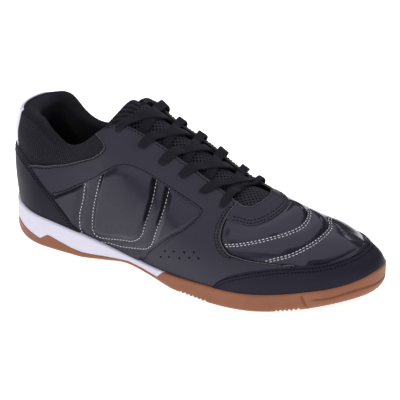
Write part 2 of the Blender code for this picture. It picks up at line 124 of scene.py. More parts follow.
swell = table(
    "x flare outerLow outerHigh innerLow innerHigh",
    (0, 8, 0.36, 0.34, 0.36, 0.34), (40, 8, 0.36, 0.34, 0.36, 0.34), (80, 6, 0.36, 0.36, 0.36, 0.36),
    (120, 8, 0.42, 0.42, 0.42, 0.42), (160, 12, 0.50, 0.50, 0.49, 0.48), (200, 14, 0.55, 0.60, 0.43, 0.40),
    (220, 14, 0.565, 0.61, 0.34, 0.28), (240, 14, 0.58, 0.62, 0.33, 0.29), (256, 13.5, 0.585, 0.62, 0.44, 0.42),
    (270, 13, 0.59, 0.62, 0.46, 0.45), (283, 12.4, 0.596, 0.62, 0.45, 0.44), (292, 12, 0.60, 0.62, 0.60, 0.62),
)


def turnAt(x):
    turn = math.acos(1 - 2 * x / last["length"])
    return round(turn * 2000) / 2000       # so that neighbours share their wall lines


def footX(turn):
    return last["length"] / 2 * (1 - math.cos(turn))


def roundEnd(turn, side):
    if turn < 0:
        return -turn, -side
    if turn > math.pi:
        return 2 * math.pi - turn, -side
    return turn, side


def heelFull(x):
    return math.sqrt(max(0.0, 1 - max(0.0, 1 - x / last["heelRound"]) ** 2))


def outlinePoint(turn, side):
    x = footX(turn)
    wide, narrow = smooth(outline, "outer", x), smooth(outline, "inner", x)
    full = heelFull(x)
    if x > last["toeRound"]:
        share = (x - last["toeRound"]) / (last["length"] - last["toeRound"])
        full = max(0.0, 1 - share ** last["toePower"]) ** (1 / last["toePower"])
    return Vector((x, (narrow - wide) / 2 + side * (narrow + wide) / 2 * full))


@lru_cache(maxsize=None)
def rimPoint(turn, side, inset):
    small = 0.001
    along = outlinePoint(*roundEnd(turn + small, side)) - outlinePoint(*roundEnd(turn - small, side))
    along.normalize()
    return outlinePoint(turn, side) + Vector((along.y, -along.x)) * side * inset


def ridgePoint(turn):
    x = footX(turn)
    if x > last["fanStart"]:
        share = (x - last["fanStart"]) / (last["length"] - last["fanStart"])
        x = last["fanStart"] + (last["pole"] - last["fanStart"]) * math.sin(
            math.pi / 2 * share ** last["fanPower"])
    return Vector((x, smooth(ridge, "y", x), smooth(ridge, "z", x)))


def edgeHalf(x):
    half = smooth(topline, "half", x) * heelFull(x)
    if x > last["throatRound"]:
        past = (x - last["throatRound"]) / (last["throatEnd"] - last["throatRound"])
        half *= math.sqrt(max(0.0, 1 - past**2))
    return half


def edgePoint(turn, side):
    x = footX(turn)
    return Vector((smooth(topline, "topX", x), side * edgeHalf(x), smooth(topline, sideNames[side], x)))


@lru_cache(maxsize=None)
def wallLine(turn, side, closed):
    x = footX(turn)
    plan = rimPoint(turn, side, last["seatInset"])
    foot = Vector((plan.x, plan.y, smooth(heights, "bed", x) + last["gap"]))
    top = ridgePoint(turn) if closed else edgePoint(turn, side)
    across = Vector((top.x - foot.x, top.y - foot.y, 0.0))
    reach, height = across.length, top.z - foot.z
    inwards = across.normalized()
    flare = math.radians(smooth(swell, "flare", x))
    leave = Vector((0, 0, math.cos(flare))) - inwards * math.sin(flare)
    slope = math.radians(smooth(topline, "slope", x))
    if closed:
        fall = smooth(ridge, "z", top.x + 0.5) - smooth(ridge, "z", top.x - 0.5)
        slope = math.atan(fall * inwards.x)
    arrive = Vector((0, 0, math.sin(slope))) + inwards * math.cos(slope)
    low = smooth(swell, sideNames[side] + "Low", x) * height
    high = smooth(swell, sideNames[side] + "High", x) * (reach * math.cos(slope) + height * math.sin(slope))
    return foot, foot + leave * low, top - arrive * high, top


def onCurve(controls, share):
    a, b, c, d = controls
    rest = 1 - share
    return a * rest**3 + b * (3 * rest**2 * share) + c * (3 * rest * share**2) + d * share**3


def closedPoint(turn, side, share):
    turn, side = roundEnd(turn, side)
    return onCurve(wallLine(turn, side, True), share)


# Highest share of a line at which a test still holds
def searchShare(holds, steps):
    low, high = 0.0, 1.0
    for _ in range(steps):
        middle = (low + high) / 2
        low, high = (middle, high) if holds(middle) else (low, middle)
    return low


@lru_cache(maxsize=None)
def closedShare(turn, side, half):
    return searchShare(lambda share: abs(closedPoint(turn, side, share).y) > half, 16)


# Share of a closed line at which the wall line ends: in front of the throat it runs up to the ridge
def topShare(turn, side, x):
    if x < last["throatRound"]:
        return closedShare(turn, side, edgeHalf(x))
    start = closedShare(turnAt(last["throatRound"]), side, edgeHalf(last["throatRound"]))
    return start + (1 - start) * ease((x - last["throatRound"]) / (last["throatEnd"] - last["throatRound"]))


def wallPoint(turn, side, share):
    turn, side = roundEnd(turn, side)
    x = footX(turn)
    turning = ease((x - last["closedFrom"]) / (last["throatRound"] - last["closedFrom"]))
    if turning == 0.0:
        return onCurve(wallLine(turn, side, False), share)
    closed = closedPoint(turn, side, share * topShare(turn, side, x))
    if turning == 1.0:
        return closed
    return onCurve(wallLine(turn, side, False), share).lerp(closed, turning)


def wallNormal(surface, turn, side, share):
    small, step = 0.004, 0.01
    middle = min(max(share, step), 0.98)
    along = surface(turn + small, side, middle) - surface(turn - small, side, middle)
    up = surface(turn, side, middle + step) - surface(turn, side, middle - step)
    return along.cross(up).normalized() * -side


def offWall(turn, side, share, lift):
    return wallPoint(turn, side, share) + wallNormal(wallPoint, turn, side, share) * lift


def lastPoint(x, share, side, lift=0.0):
    turn = turnAt(x)
    return offWall(turn, side, share, lift) if lift else wallPoint(turn, side, share)


@lru_cache(maxsize=None)
def shareAtHeight(turn, side, z):
    return searchShare(lambda share: wallPoint(turn, side, share).z < z, 18)


def underside(x):
    return max(0.0, smooth(heights, "bottom", x))


def inFrame(point):
    return Vector((point[0] - last["middleX"], point[1] - last["middleY"], point[2])) * mm


# Grids of quads are moved onto the last, and get a UV map in centimetres for weaves
def runFrom(middle, count, step):
    run = {middle: 0.0}
    for i in range(middle, count):
        run[i + 1] = run[i] + step(i)
    for i in range(middle, 0, -1):
        run[i - 1] = run[i] - step(i - 1)
    return run


def placeGrid(us, vs, place):
    shape = bmesh.new()
    weave = shape.loops.layers.uv.new("weave")
    columns, rows = len(us) - 1, len(vs) - 1
    bmesh.ops.create_grid(shape, x_segments=columns, y_segments=rows, size=1.0)
    spots, at = {}, {}
    for vert in shape.verts:
        i, j = round((vert.co.x + 1) / 2 * columns), round((vert.co.y + 1) / 2 * rows)
        vert.co = inFrame(place(us[i], vs[j]))
        spots[vert], at[i, j] = (i, j), vert.co * 100
    along = [runFrom(columns // 2, columns, lambda i: (at[i + 1, j] - at[i, j]).length) for j in range(rows + 1)]
    across = [runFrom(rows // 2, rows, lambda j: (at[i, j + 1] - at[i, j]).length) for i in range(columns + 1)]
    for face in shape.faces:
        for loop in face.loops:
            i, j = spots[loop.vert]
            loop[weave].uv = along[j][i], across[i][j]
    bmesh.ops.remove_doubles(shape, verts=shape.verts, dist=0.000004)
    return shape


# An open sheet faces away from the middle of the shoe
def faceOut(shape, heart=40.0):
    looks = 0.0
    for face in shape.faces:
        centre = face.calc_center_median()
        looks += face.normal.dot(centre - Vector((centre.x * 0.9, 0.0, heart * mm))) * face.calc_area()
    if looks < 0:
        bmesh.ops.reverse_faces(shape, faces=shape.faces)
    return shape


# A sheet that lies flat, or its part above a height, faces up
def faceUp(shape, above=0.0):
    if sum(f.normal.z * f.calc_area() for f in shape.faces if f.calc_center_median().z > above) < 0:
        bmesh.ops.reverse_faces(shape, faces=shape.faces)
    return shape


# A sheet gets its thickness and is rounded; a closed shape stays as it is
def keepPiece(name, shape, finish, slot, *nodes, thick=0.0, levels=1, offset=-1.0, cutEdge=None):
    shape.normal_update()
    mesh = bpy.data.meshes.new(name)
    shape.to_mesh(mesh)
    shape.free()
    mesh.materials.append(finish)
    mesh.shade_smooth()
    piece = bpy.data.objects.new(name, mesh)
    bpy.context.scene.collection.objects.link(piece)
    if thick:
        wall = piece.modifiers.new("thickness", "SOLIDIFY")
        wall.thickness, wall.offset, wall.use_even_offset = thick * mm, offset, False
        if cutEdge:
            mesh.materials.append(cutEdge)
            wall.material_offset_rim = 1
    if thick and levels:
        rounding = piece.modifiers.new("rounding", "SUBSURF")
        rounding.levels = rounding.render_levels = levels
    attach(piece, "root")
    if nodes:
        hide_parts(*nodes)
    return piece


# Share and distance of each row, so that rows keep their distance from an edge at any width
def edgeRows(count, start=(), end=()):
    rows = [(0.0, 0.0)] + [(0.0, d) for d in start]
    rows += [(i / count, 0.0) for i in range(1, count)]
    return rows + [(1.0, -d) for d in reversed(end)] + [(1.0, 0.0)]


# Finishes
def newFinish(name, colour, roughness, **sockets):
    made = bpy.data.materials.new(name)
    made.use_nodes = True
    shader = made.node_tree.nodes["Principled BSDF"]
    shader.inputs["Base Color"].default_value = (*colour, 1.0)
    shader.inputs["Roughness"].default_value = roughness
    for socket, value in sockets.items():
        shader.inputs[socket.replace("_", " ")].default_value = value
    return made


def addTexture(finish, kind, space, scale, turn=0.0, **inputs):
    nodes, links = finish.node_tree.nodes, finish.node_tree.links
    coords, mapping, made = (nodes.new(k) for k in ("ShaderNodeTexCoord", "ShaderNodeMapping", kind))
    mapping.inputs["Scale"].default_value = scale if isinstance(scale, tuple) else (scale,) * 3
    mapping.inputs["Rotation"].default_value[2] = math.radians(turn)
    links.new(coords.outputs[space], mapping.inputs["Vector"])
    links.new(mapping.outputs["Vector"], made.inputs["Vector"])
    for name, value in inputs.items():
        made.inputs[name].default_value = value
    return made


def remap(finish, value, fromLow, fromHigh, toLow, toHigh):
    made = finish.node_tree.nodes.new("ShaderNodeMapRange")
    for name, number in zip(("From Min", "From Max", "To Min", "To Max"), (fromLow, fromHigh, toLow, toHigh)):
        made.inputs[name].default_value = number
    finish.node_tree.links.new(value, made.inputs["Value"])
    return made.outputs["Result"]


def tint(finish, factor, low, high):
    made = finish.node_tree.nodes.new("ShaderNodeMix")
    made.data_type = "RGBA"
    made.inputs["A"].default_value, made.inputs["B"].default_value = (*low, 1.0), (*high, 1.0)
    finish.node_tree.links.new(factor, made.inputs["Factor"])
    toShader(finish, made.outputs["Result"], "Base Color")


def toShader(finish, value, socket):
    finish.node_tree.links.new(value, finish.node_tree.nodes["Principled BSDF"].inputs[socket])


def addBump(finish, height, strength, depth, under=None):
    made = finish.node_tree.nodes.new("ShaderNodeBump")
    made.inputs["Strength"].default_value = strength
    made.inputs["Distance"].default_value = depth * mm
    finish.node_tree.links.new(height, made.inputs["Height"])
    if under:
        finish.node_tree.links.new(under.outputs["Normal"], made.inputs["Normal"])
    toShader(finish, made.outputs["Normal"], "Normal")
    return made


def leatherFinish(name, colour, roughness, grain, waves=0.10, **sockets):
    made = newFinish(name, colour, roughness, Specular_Tint=(0.88, 0.85, 1.0, 1.0), **sockets)
    pores = addTexture(made, "ShaderNodeTexVoronoi", "Object", 1.0, Scale=1500.0, Randomness=1.0)
    cloud = addTexture(made, "ShaderNodeTexNoise", "Object", 1.0, Scale=55.0, Detail=4.0)
    soft = addBump(made, cloud.outputs["Fac"], waves, 1.2)
    addBump(made, pores.outputs["Distance"], grain, 0.12, under=soft)
    toShader(made, remap(made, cloud.outputs["Fac"], 0.3, 0.7, roughness - 0.05, roughness + 0.06), "Roughness")
    return made


def meshFinish(name, hole, thread, pitch, turn, depth):
    made = newFinish(name, thread, 0.85, Specular_IOR_Level=0.12, Sheen_Weight=0.06, Sheen_Roughness=0.5)
    cells = addTexture(made, "ShaderNodeTexVoronoi", "UV", (1 / pitch[0], 1 / pitch[1], 1.0), turn,
                       Scale=1.0, Randomness=0.0)
    cells.voronoi_dimensions = "2D"
    web = remap(made, cells.outputs["Distance"], 0.26, 0.42, 0.0, 1.0)
    tint(made, web, hole, thread)
    addBump(made, web, 0.9, depth)
    return made


smoothLeather = leatherFinish("smoothLeather", (0.026, 0.025, 0.0345), 0.46, 0.10, Specular_IOR_Level=0.22)
guardLeather = leatherFinish("guardLeather", (0.0165, 0.0158, 0.0245), 0.50, 0.12, Specular_IOR_Level=0.09)
counterLeather = leatherFinish("counterLeather", (0.0125, 0.012, 0.018), 0.50, 0.12, Specular_IOR_Level=0.12)
glossLeather = leatherFinish(
    "glossLeather", (0.015, 0.0145, 0.023), 0.20, 0.02, waves=0.03, Specular_IOR_Level=0.42)
padLeather = leatherFinish(
    "padLeather", (0.013, 0.0125, 0.0195), 0.28, 0.02, waves=0.06, Specular_IOR_Level=0.36)
whiteLeather = leatherFinish("whiteLeather", (0.78, 0.77, 0.82), 0.45, 0.10)
# Cut edges are real, but are painted paler than the leather as a painted highlight where they catch the light; also
# used on the rims of the quarters, throat band, toe guard and heel counter
edgeHighlight = newFinish("edgeHighlight", (0.085, 0.076, 0.076), 0.7)
collarWeave = meshFinish("collarWeave", (0.0012, 0.0012, 0.0018), (0.0135, 0.013, 0.0205), (0.165, 0.160), 0.0, 0.5)
tongueWeave = meshFinish("tongueWeave", (0.0010, 0.0010, 0.0014), (0.029, 0.028, 0.038), (0.26, 0.26), 45.0, 0.7)
liningKnit = meshFinish("liningKnit", (0.004, 0.004, 0.006), (0.011, 0.011, 0.015), (0.07, 0.09), 0.0, 0.15)
laceWeave = meshFinish("laceWeave", (0.005, 0.005, 0.007), (0.0145, 0.014, 0.0205), (0.10, 0.06), 30.0, 0.2)
whiteThread = newFinish("whiteThread", (0.80, 0.79, 0.82), 0.6)
blackThread = newFinish("blackThread", (0.0010, 0.0010, 0.0015), 0.7, Specular_IOR_Level=0.05)
# Black of the punched holes: painted shade for the dark inside each hole
holeShade = newFinish("holeShade", (0.002, 0.002, 0.002), 0.9, Specular_IOR_Level=0.05)

# Painted light: the lining is painted paler round the back of the heel, where light falls on it, and darker further in,
# where it lies in shade
heelLightDot = liningKnit.node_tree.nodes.new("ShaderNodeVectorMath")
heelLightDot.operation = "DOT_PRODUCT"
heelLightDot.inputs[1].default_value = (1.0, 0.6, 0.0)
heelCoords = liningKnit.node_tree.nodes.new("ShaderNodeTexCoord")
liningKnit.node_tree.links.new(heelCoords.outputs["Object"], heelLightDot.inputs[0])
heelPaintedLight = remap(liningKnit, heelLightDot.outputs["Value"], -0.1240, -0.1130, 1.0, 0.0)
tint(liningKnit, heelPaintedLight, (0.0045, 0.0044, 0.0065), (0.0135, 0.013, 0.020))


# Tone and skin are the scale and detail of a noise; the skin's bump has a strength and a depth
def mouldedFinish(name, low, high, tone, spread, skin, bump):
    made = newFinish(name, high, 0.5, Specular_IOR_Level=0.3)
    clouds, grain = (addTexture(made, "ShaderNodeTexNoise", "Object", 1.0, Scale=scale, Detail=detail)
                     for scale, detail in (tone, skin))
    tint(made, remap(made, clouds.outputs["Fac"], *spread, 0.0, 1.0), low, high)
    addBump(made, grain.outputs["Fac"], *bump)
    return made


whiteFoam = mouldedFinish("whiteFoam", (0.63, 0.615, 0.69), (0.67, 0.655, 0.73),
                          (30.0, 3.0), (0.0, 1.0), (900.0, 3.0), (0.12, 0.15))
gumRubber = mouldedFinish("gumRubber", (0.228, 0.079, 0.034), (0.270, 0.100, 0.045),
                          (45.0, 5.0), (0.3, 0.7), (1100.0, 2.0), (0.15, 0.12))
print("finishes ready")

# Sole: white midsole over a gum outsole
sole = {
    "edgeRound": 3.6, "toeRound": 9.0, "toeInset": 0.9, "lipDrop": 2.2, "lipInset": 0.8, "seam": 0.35,
    "columns": 600, "wallRows": 30, "acrossRows": 34, "whiteColumns": 300, "whiteRows": 14,
    "whiteDepth": 7.0, "whiteFade": 6.0, "whiteEnd": 144.6, "seatDeep": 0.5, "cupDrop": 2.5,
    "flexGrooves": (24, 46, 160, 180, 198, 216, 234), "flexWidth": 2.4, "flexDepth": 1.6,
    "ribPitch": 3.3, "ribDepth": 1.2, "ribReach": 5.5, "ribs": ((157, 181), (234, 251)),
    "pivotX": 189.0, "pivotRadius": 17.0, "pivotPitch": 4.2,
    "lineGroove": (1.1, 0.65), "notch": (1.5, 0.75),
}
joinLine = table(
    "x z",
    (0, 10.4), (14, 10.2), (28, 8.0), (36, 6.4), (39, 8.7), (43, 11.4), (47.5, 10.5), (54, 8.6),
    (62.5, 6.4), (72, 5.1), (81, 5.9), (95, 8.1), (113, 10.2), (124, 8.8), (138.5, 6.1), (160, 29.0),
)
toeGroove = table("x z", (257, 16.4), (264.5, 17.1), (269.5, 17.9), (275.5, 19.7), (281, 21.3), (292, 22.6))
notchLine = table("x z", (250.5, 19.0), (252.5, 14.1), (255.5, 8.0))


def joinHeight(x):
    rim = smooth(heights, "rim", x)
    return min(straight(joinLine, "z", x), rim) if x < sole["whiteEnd"] else rim


def wallInset(x, z):
    bottom, rim = underside(x), smooth(heights, "rim", x)
    inset = 0.0
    radius = sole["edgeRound"] + (sole["toeRound"] - sole["edgeRound"]) * ease((x - 215) / 65)
    low = (z - bottom) / radius
    if low < 1:
        inset = 0.75 * radius * (1 - math.sqrt(max(0.0, 1 - (1 - low) ** 2)))
    inset += sole["toeInset"] * ease((x - 255) / 30)
    high = (z - rim + sole["lipDrop"]) / sole["lipDrop"]
    if high > 0:
        inset += sole["lipInset"] * (1 - math.sqrt(max(0.0, 1 - min(high, 1.0) ** 2)))
    return inset


# Grooves across the sole close before they reach its edge; ribs run out as teeth
def treadDepth(x, y, fromEdge):
    deep = 0.0
    for groove in sole["flexGrooves"]:
        deep = max(deep, sole["flexDepth"] * ease(2.2 - abs(x - groove) / sole["flexWidth"] * 2.4))
    deep *= ease((fromEdge - 2) / 5)
    fromPivot = math.hypot(x - sole["pivotX"], y)
    if fromPivot < sole["pivotRadius"] + 2:
        ring = abs((fromPivot / sole["pivotPitch"]) % 1.0 - 0.5)
        return max(0.0, sole["ribDepth"] * ease((ring - 0.22) / 0.18))
    for start, end in sole["ribs"]:
        if start < x < end:
            wave = ((x + 2.2 * math.cos(y / 5.5)) / sole["ribPitch"]) % 1.0
            deep = max(deep, sole["ribDepth"] * ease((abs(wave - 0.5) - 0.18) / 0.14))
    return deep


def wallGroove(x, z):
    deep, wide = sole["lineGroove"]
    groove = deep * math.exp(-((z - smooth(toeGroove, "z", x)) / wide) ** 2) * ease((x - 255) / 4)
    deep, wide = sole["notch"]
    if notchLine["z"][0][-1] < z < notchLine["z"][0][0] + 1:
        middle = float(np.interp(-z, [-v for v in notchLine["z"][0]], notchLine["x"]))
        groove += deep * math.exp(-((x - middle) / wide) ** 2)
    return groove


@lru_cache(maxsize=None)
def soleWall(turn, side, z, cut):
    x = footX(turn)
    plan = rimPoint(turn, side, wallInset(x, z) + wallGroove(x, z))
    lift = cut * treadDepth(x, plan.y, 0.0) * (1 - ease((z - underside(x)) / sole["ribReach"]))
    return Vector((plan.x, plan.y, z + lift))


# Hidden edges of the sole: behind the white wall, and against the upper
def whiteBack(turn, side, z):
    return Vector((*rimPoint(turn, side, sole["whiteDepth"] * min(1.0, footX(turn) / sole["whiteFade"])), z))


def seatPoint(turn, side, drop=0.0):
    rim = smooth(heights, "rim", footX(turn))
    spot = offWall(turn, side, shareAtHeight(turn, side, rim), -sole["seatDeep"])
    return Vector((spot.x, spot.y, rim - drop))


def outsolePoint(turn, row):
    part, share = row
    x = footX(turn)
    top, bottom = joinHeight(x), underside(x)
    if part == "under":
        ends = [soleWall(turn, side, bottom, 1.0) for side in (outer, inner)]
        spot = ends[0].lerp(ends[1], share)
        fromEdge = min(share, 1 - share) * (ends[0] - ends[1]).length
        return Vector((spot.x, spot.y, bottom + treadDepth(spot.x, spot.y, fromEdge)))
    side = outer if part.startswith("outer") else inner
    if part.endswith("Wall"):
        return soleWall(turn, side, bottom + (top - bottom) * share, 1.0)
    return whiteBack(turn, side, top) if x < sole["whiteEnd"] else seatPoint(turn, side, sole["cupDrop"] * share)


ring = [("outerSeat", 1), ("outerSeat", 0)]
ring += [("outerWall", 1 - share) for share in even(sole["wallRows"])]
ring += [("under", share) for share in even(sole["acrossRows"])[1:-1]]
ring += [("innerWall", 1 - share) for share in reversed(even(sole["wallRows"]))]
ring += [("innerSeat", 0), ("innerSeat", 1), ("outerSeat", 1)]
shape = placeGrid(between(0.0, math.pi, sole["columns"]), ring, outsolePoint)
bmesh.ops.recalc_face_normals(shape, faces=shape.faces)
keepPiece("gumOutsole", shape, gumRubber, "gum_rubber", "outsole")


def midsolePoint(along, row):
    turn = turnAt(sole["whiteEnd"]) * abs(along)
    side = outer if along < 0 else inner
    x = footX(turn)
    rim, low = smooth(heights, "rim", x), min(joinHeight(x) + 0.05, smooth(heights, "rim", x))
    part, share = row
    if part == "wall":
        z = low + (rim - low) * share
        tuck = sole["seam"] * (1 - ease((z - low) / 0.8))
        return Vector((*rimPoint(turn, side, wallInset(x, z) + tuck), z))
    return seatPoint(turn, side) if part == "seat" else whiteBack(turn, side, low)


ring = [("wall", share) for share in even(sole["whiteRows"])] + [("seat", 0), ("inside", 0), ("wall", 0.0)]
shape = placeGrid(between(-1.0, 1.0, sole["whiteColumns"]), ring, midsolePoint)
bmesh.ops.recalc_face_normals(shape, faces=shape.faces)
keepPiece("foamMidsole", shape, whiteFoam, "white_foam", "midsole")

insole = {"inset": 5.2, "thick": 3.6, "lift": 4.0, "cup": 3.5, "columns": 90, "rows": 22}


def insolePoint(turn, share):
    x = footX(turn)
    edges = [rimPoint(turn, side, insole["inset"]) for side in (outer, inner)]
    spot = edges[0].lerp(edges[1], share)
    rise = insole["cup"] * abs(2 * share - 1) ** 4 * (1 - 0.6 * ease((x - 90) / 60))
    return Vector((spot.x, spot.y, smooth(heights, "bed", x) + last["gap"] + insole["lift"] + rise))


shape = faceUp(placeGrid(between(0.0, math.pi, insole["columns"]), even(insole["rows"]), insolePoint))
keepPiece("footbed", shape, liningKnit, "liner_fabric", "insole", thick=insole["thick"])
print("sole ready")

# Lining that carries the panels, and a fine copy of the last to lay panels on
lining = {
    "lift": -1.3, "thick": 1.0, "throatCut": 0.30, "cutFrom": (174, 10), "cutTo": (206, 5), "columns": 170, "rows": 26,
    "lastRows": 46,
}


def liningPoint(turn, share):
    turn, side = roundEnd(turn, outer)
    start, end = (ease((footX(turn) - x) / reach) for x, reach in (lining["cutFrom"], lining["cutTo"]))
    cut = lining["throatCut"] * start * (1 - end)
    return offWall(turn, side, share * (1 - cut), lining["lift"])


shape = faceOut(placeGrid(between(0.0, 2 * math.pi, lining["columns"]), even(lining["rows"]), liningPoint))
keepPiece("upperLining", shape, liningKnit, "liner_fabric", "upper", thick=lining["thick"], levels=0)

frontTurns = between(0.5 * math.pi, 1.5 * math.pi, lining["columns"])       # front half of the last, from side to side
lastForm = faceOut(placeGrid(frontTurns, even(lining["lastRows"]), lambda turn, share: wallPoint(turn, outer, share)))
lastForm.normal_update()
lastForm.faces.ensure_lookup_table()
lastTree = BVHTree.FromBMesh(lastForm)


def onSurface(point, lift):
    spot, _, index, _ = lastTree.find_nearest(inFrame(point))
    corners = lastForm.faces[index].verts
    weights = poly_3d_calc([v.co for v in corners], spot)
    normal = sum((v.normal * w for v, w in zip(corners, weights)), Vector()).normalized()
    spot = spot / mm + normal * lift
    return Vector((spot.x + last["middleX"], spot.y + last["middleY"], spot.z))


def surfaceSpot(point, lift=0.0):
    low, high = onSurface(point, lift), onSurface(point, lift + 1.0)
    return low, (high - low).normalized()


# Curve over the last through places given as x, share and side
def lastCurve(places):
    points = [lastPoint(x, share, side) for x, share, side in places]
    run = [0.0]
    for a, b in zip(points, points[1:]):
        run.append(run[-1] + (b - a).length)
    track = table("x px py pz", *[(s / run[-1], *p) for s, p in zip(run, points)])

    def at(share):
        return Vector([smooth(track, name, share) for name in ("px", "py", "pz")])
    return at


def overRidge(outerPlaces, innerPlaces):
    return [(x, s, outer) for x, s in outerPlaces] + [(x, s, inner) for x, s in innerPlaces]


print("last ready")

# Quarter and eyestay: one panel on each side, between the side window and the outer edge
quarter = {
    "lift": 1.05, "thick": 1.5, "columns": 130, "rows": 18, "edgeRows": (0.45, 1.1, 1.7, 2.3, 3.2, 4.2, 5.0),
    "edgeDrop": 0.35, "groove": 0.3, "holeDip": 0.7, "holeSize": 2.8,
}
quarterRows = [
    (42, 0.350, 21, 0.500), (52.4, 0.428, 37.6, 0.642), (68.1, 0.548, 48.9, 0.747),
    (83.9, 0.596, 66, 0.815), (96.3, 0.654, 82, 0.797), (103, 0.684, 89.5, 0.820),
    (107, 0.701, 91.6, 0.849), (111, 0.718, 89.5, 0.900), (115, 0.728, 82.6, 1.0),
    (120, 0.737, 96, 1.0), (127, 0.741, 110, 1.0), (137, 0.741, 126, 1.0), (148.2, 0.744, 144, 1.0),
    (160.2, 0.732, 164, 1.0), (166.6, 0.712, 181, 0.965), (168.6, 0.686, 190.2, 0.910),
    (167.4, 0.640, 188.5, 0.820), (164.5, 0.575, 187.2, 0.712), (160.5, 0.505, 186.9, 0.622),
    (156.9, 0.451, 187.8, 0.539), (152.3, 0.395, 190.8, 0.463), (149.4, 0.362, 194.0, 0.408),
    (146.5, 0.328, 197.4, 0.366), (144.6, 0.306, 199.6, 0.350), (142.8, 0.284, 201.7, 0.342),
    (140.9, 0.260, 203.8, 0.339), (139.2, 0.238, 205.8, 0.338), (137.6, 0.218, 207.7, 0.338),
    (136.2, 0.200, 209.9, 0.336), (134.4, 0.182, 213.9, 0.338), (132.8, 0.163, 219.1, 0.342),
    (130.6, 0.136, 228.5, 0.349), (129.0, 0.116, 236.5, 0.355), (127, 0.090, 244.3, 0.364),
    (125.5, 0.065, 244, 0.280), (124, 0.045, 226, 0.160), (122.5, 0.020, 206, 0.060), (121, 0.0, 190, 0.0),
]
eyelets = ((100.8, 0.942), (116.3, 0.892), (130.7, 0.863), (149.3, 0.881), (164.5, 0.857), (180.6, 0.812))


def railStrip(rows, side):
    starts = [lastPoint(r[0], r[1], side) for r in rows]
    ends = [lastPoint(r[2], r[3], side) for r in rows]
    run = [0.0]
    for i in range(1, len(rows)):
        run.append(run[-1] + ((starts[i] - starts[i - 1]).length + (ends[i] - ends[i - 1]).length) / 2)
    track = table("x xa qa xb qb", *[(s / run[-1], *row) for s, row in zip(run, rows)])
    widths = table("x wide", *[(s / run[-1], (a - b).length) for s, a, b in zip(run, starts, ends)])

    def at(u, row):
        v = row[0] + row[1] / max(smooth(widths, "wide", u), 8.0)
        xa, qa, xb, qb = (smooth(track, name, u) for name in ("xa", "qa", "xb", "qb"))
        return xa + (xb - xa) * v, min(max(qa + (qb - qa) * v, 0.0), 1.0)
    return at, [s / run[-1] for s in run]


def edgeFall(row):
    near = abs(row[1]) if row[1] or row[0] in (0.0, 1.0) else 9.0
    return 1 - ease(near / 1.3)


# Shallow groove along a row of stitches
def seamDip(row, *seams):
    return sum(math.exp(-(((abs(row[1]) - seam) / 0.5) ** 2)) for seam in seams) if row[1] else 0.0


strips, quarterMarks = {}, {}
for sideName, side in bothSides.items():
    strips[side], quarterMarks[side] = railStrip(quarterRows, side)
    holes = [lastPoint(x, share, side) for x, share in eyelets]

    def quarterPoint(u, row):
        x, share = strips[side](u, row)
        lift = quarter["lift"] - quarter["edgeDrop"] * edgeFall(row) - quarter["groove"] * seamDip(row, 1.7, 4.2)
        point = lastPoint(x, share, side)
        near = min((point - hole).length for hole in holes)
        lift -= quarter["holeDip"] * math.exp(-((near / quarter["holeSize"]) ** 4))
        return lastPoint(x, share, side, lift)

    rows = edgeRows(quarter["rows"], quarter["edgeRows"], quarter["edgeRows"])
    shape = faceOut(placeGrid(even(quarter["columns"]), rows, quarterPoint))
    keepPiece(f"quarter_{sideName}", shape, smoothLeather, "black_leather", thick=quarter["thick"],
              cutEdge=edgeHighlight)
print("quarters ready")

# Padded side window with a raised pad in its middle
sidePad = {
    "start": 44.0, "end": 171.5, "columns": 150, "rows": 40, "tuck": 0.045, "thick": 0.8,
    "middle": 2.0, "channel": 0.75, "flank": 1.5, "floor": 0.15, "trough": 0.35, "tuckDeep": 4.2, "troughWide": 0.95,
    "troughAt": 1.4, "lineSteps": 70, "foot": (74, 122), "footSlack": 0.08,
}
windowTop = table(
    "x share",
    (44, 0.30), (48.3, 0.375), (52.4, 0.428), (68.1, 0.548), (83.9, 0.596), (96.3, 0.654), (106.1, 0.697),
    (112.4, 0.722), (123.1, 0.740), (132.9, 0.741), (148.2, 0.744), (160.2, 0.732), (166.6, 0.712),
    (168.6, 0.686), (171.5, 0.62),
)
windowLow = table(
    "x share",
    (44, 0.42), (46.5, 0.379), (58.9, 0.215), (70.2, 0.043), (76, 0.0), (120, 0.0), (129.7, 0.125),
    (142.8, 0.284), (156.9, 0.451), (166.7, 0.613), (171.5, 0.70),
)
outerStitch = (
    (75.5, 0.62), (75.0, 0.587), (73.0, 0.406), (70.2, 0.252), (70.3, 0.089), (74.5, 0.028), (84.5, 0.023),
    (95.2, 0.043), (106.1, 0.056), (118.2, 0.096), (127.5, 0.134), (132.9, 0.194), (136.5, 0.312),
    (141.6, 0.531), (143.8, 0.768), (144.0, 0.80),
)
innerStitch = (
    (89.0, 0.66), (88.4, 0.626), (84.6, 0.457), (81.6, 0.286), (80.7, 0.142), (83.4, 0.072), (90.6, 0.070),
    (106.2, 0.111), (115.7, 0.141), (123.2, 0.213), (126.6, 0.319), (131.8, 0.569), (132.9, 0.747),
    (133.0, 0.79),
)


def sideView(point):
    return Vector((point.x, 0.0, point.z))


# Distance from a line of points, with the sign of the side on which the point lies
def fromLine(line, point, turn):
    best, sign = 1e9, 1.0
    for a, b in zip(line, line[1:]):
        along, away = b - a, point - a
        t = min(max(away.dot(along) / along.length_squared, 0.0), 1.0)
        distance = (away - along * t).length
        if distance < best:
            best, sign = distance, 1.0 if turn(along, away) > 0 else -1.0
    return best * sign


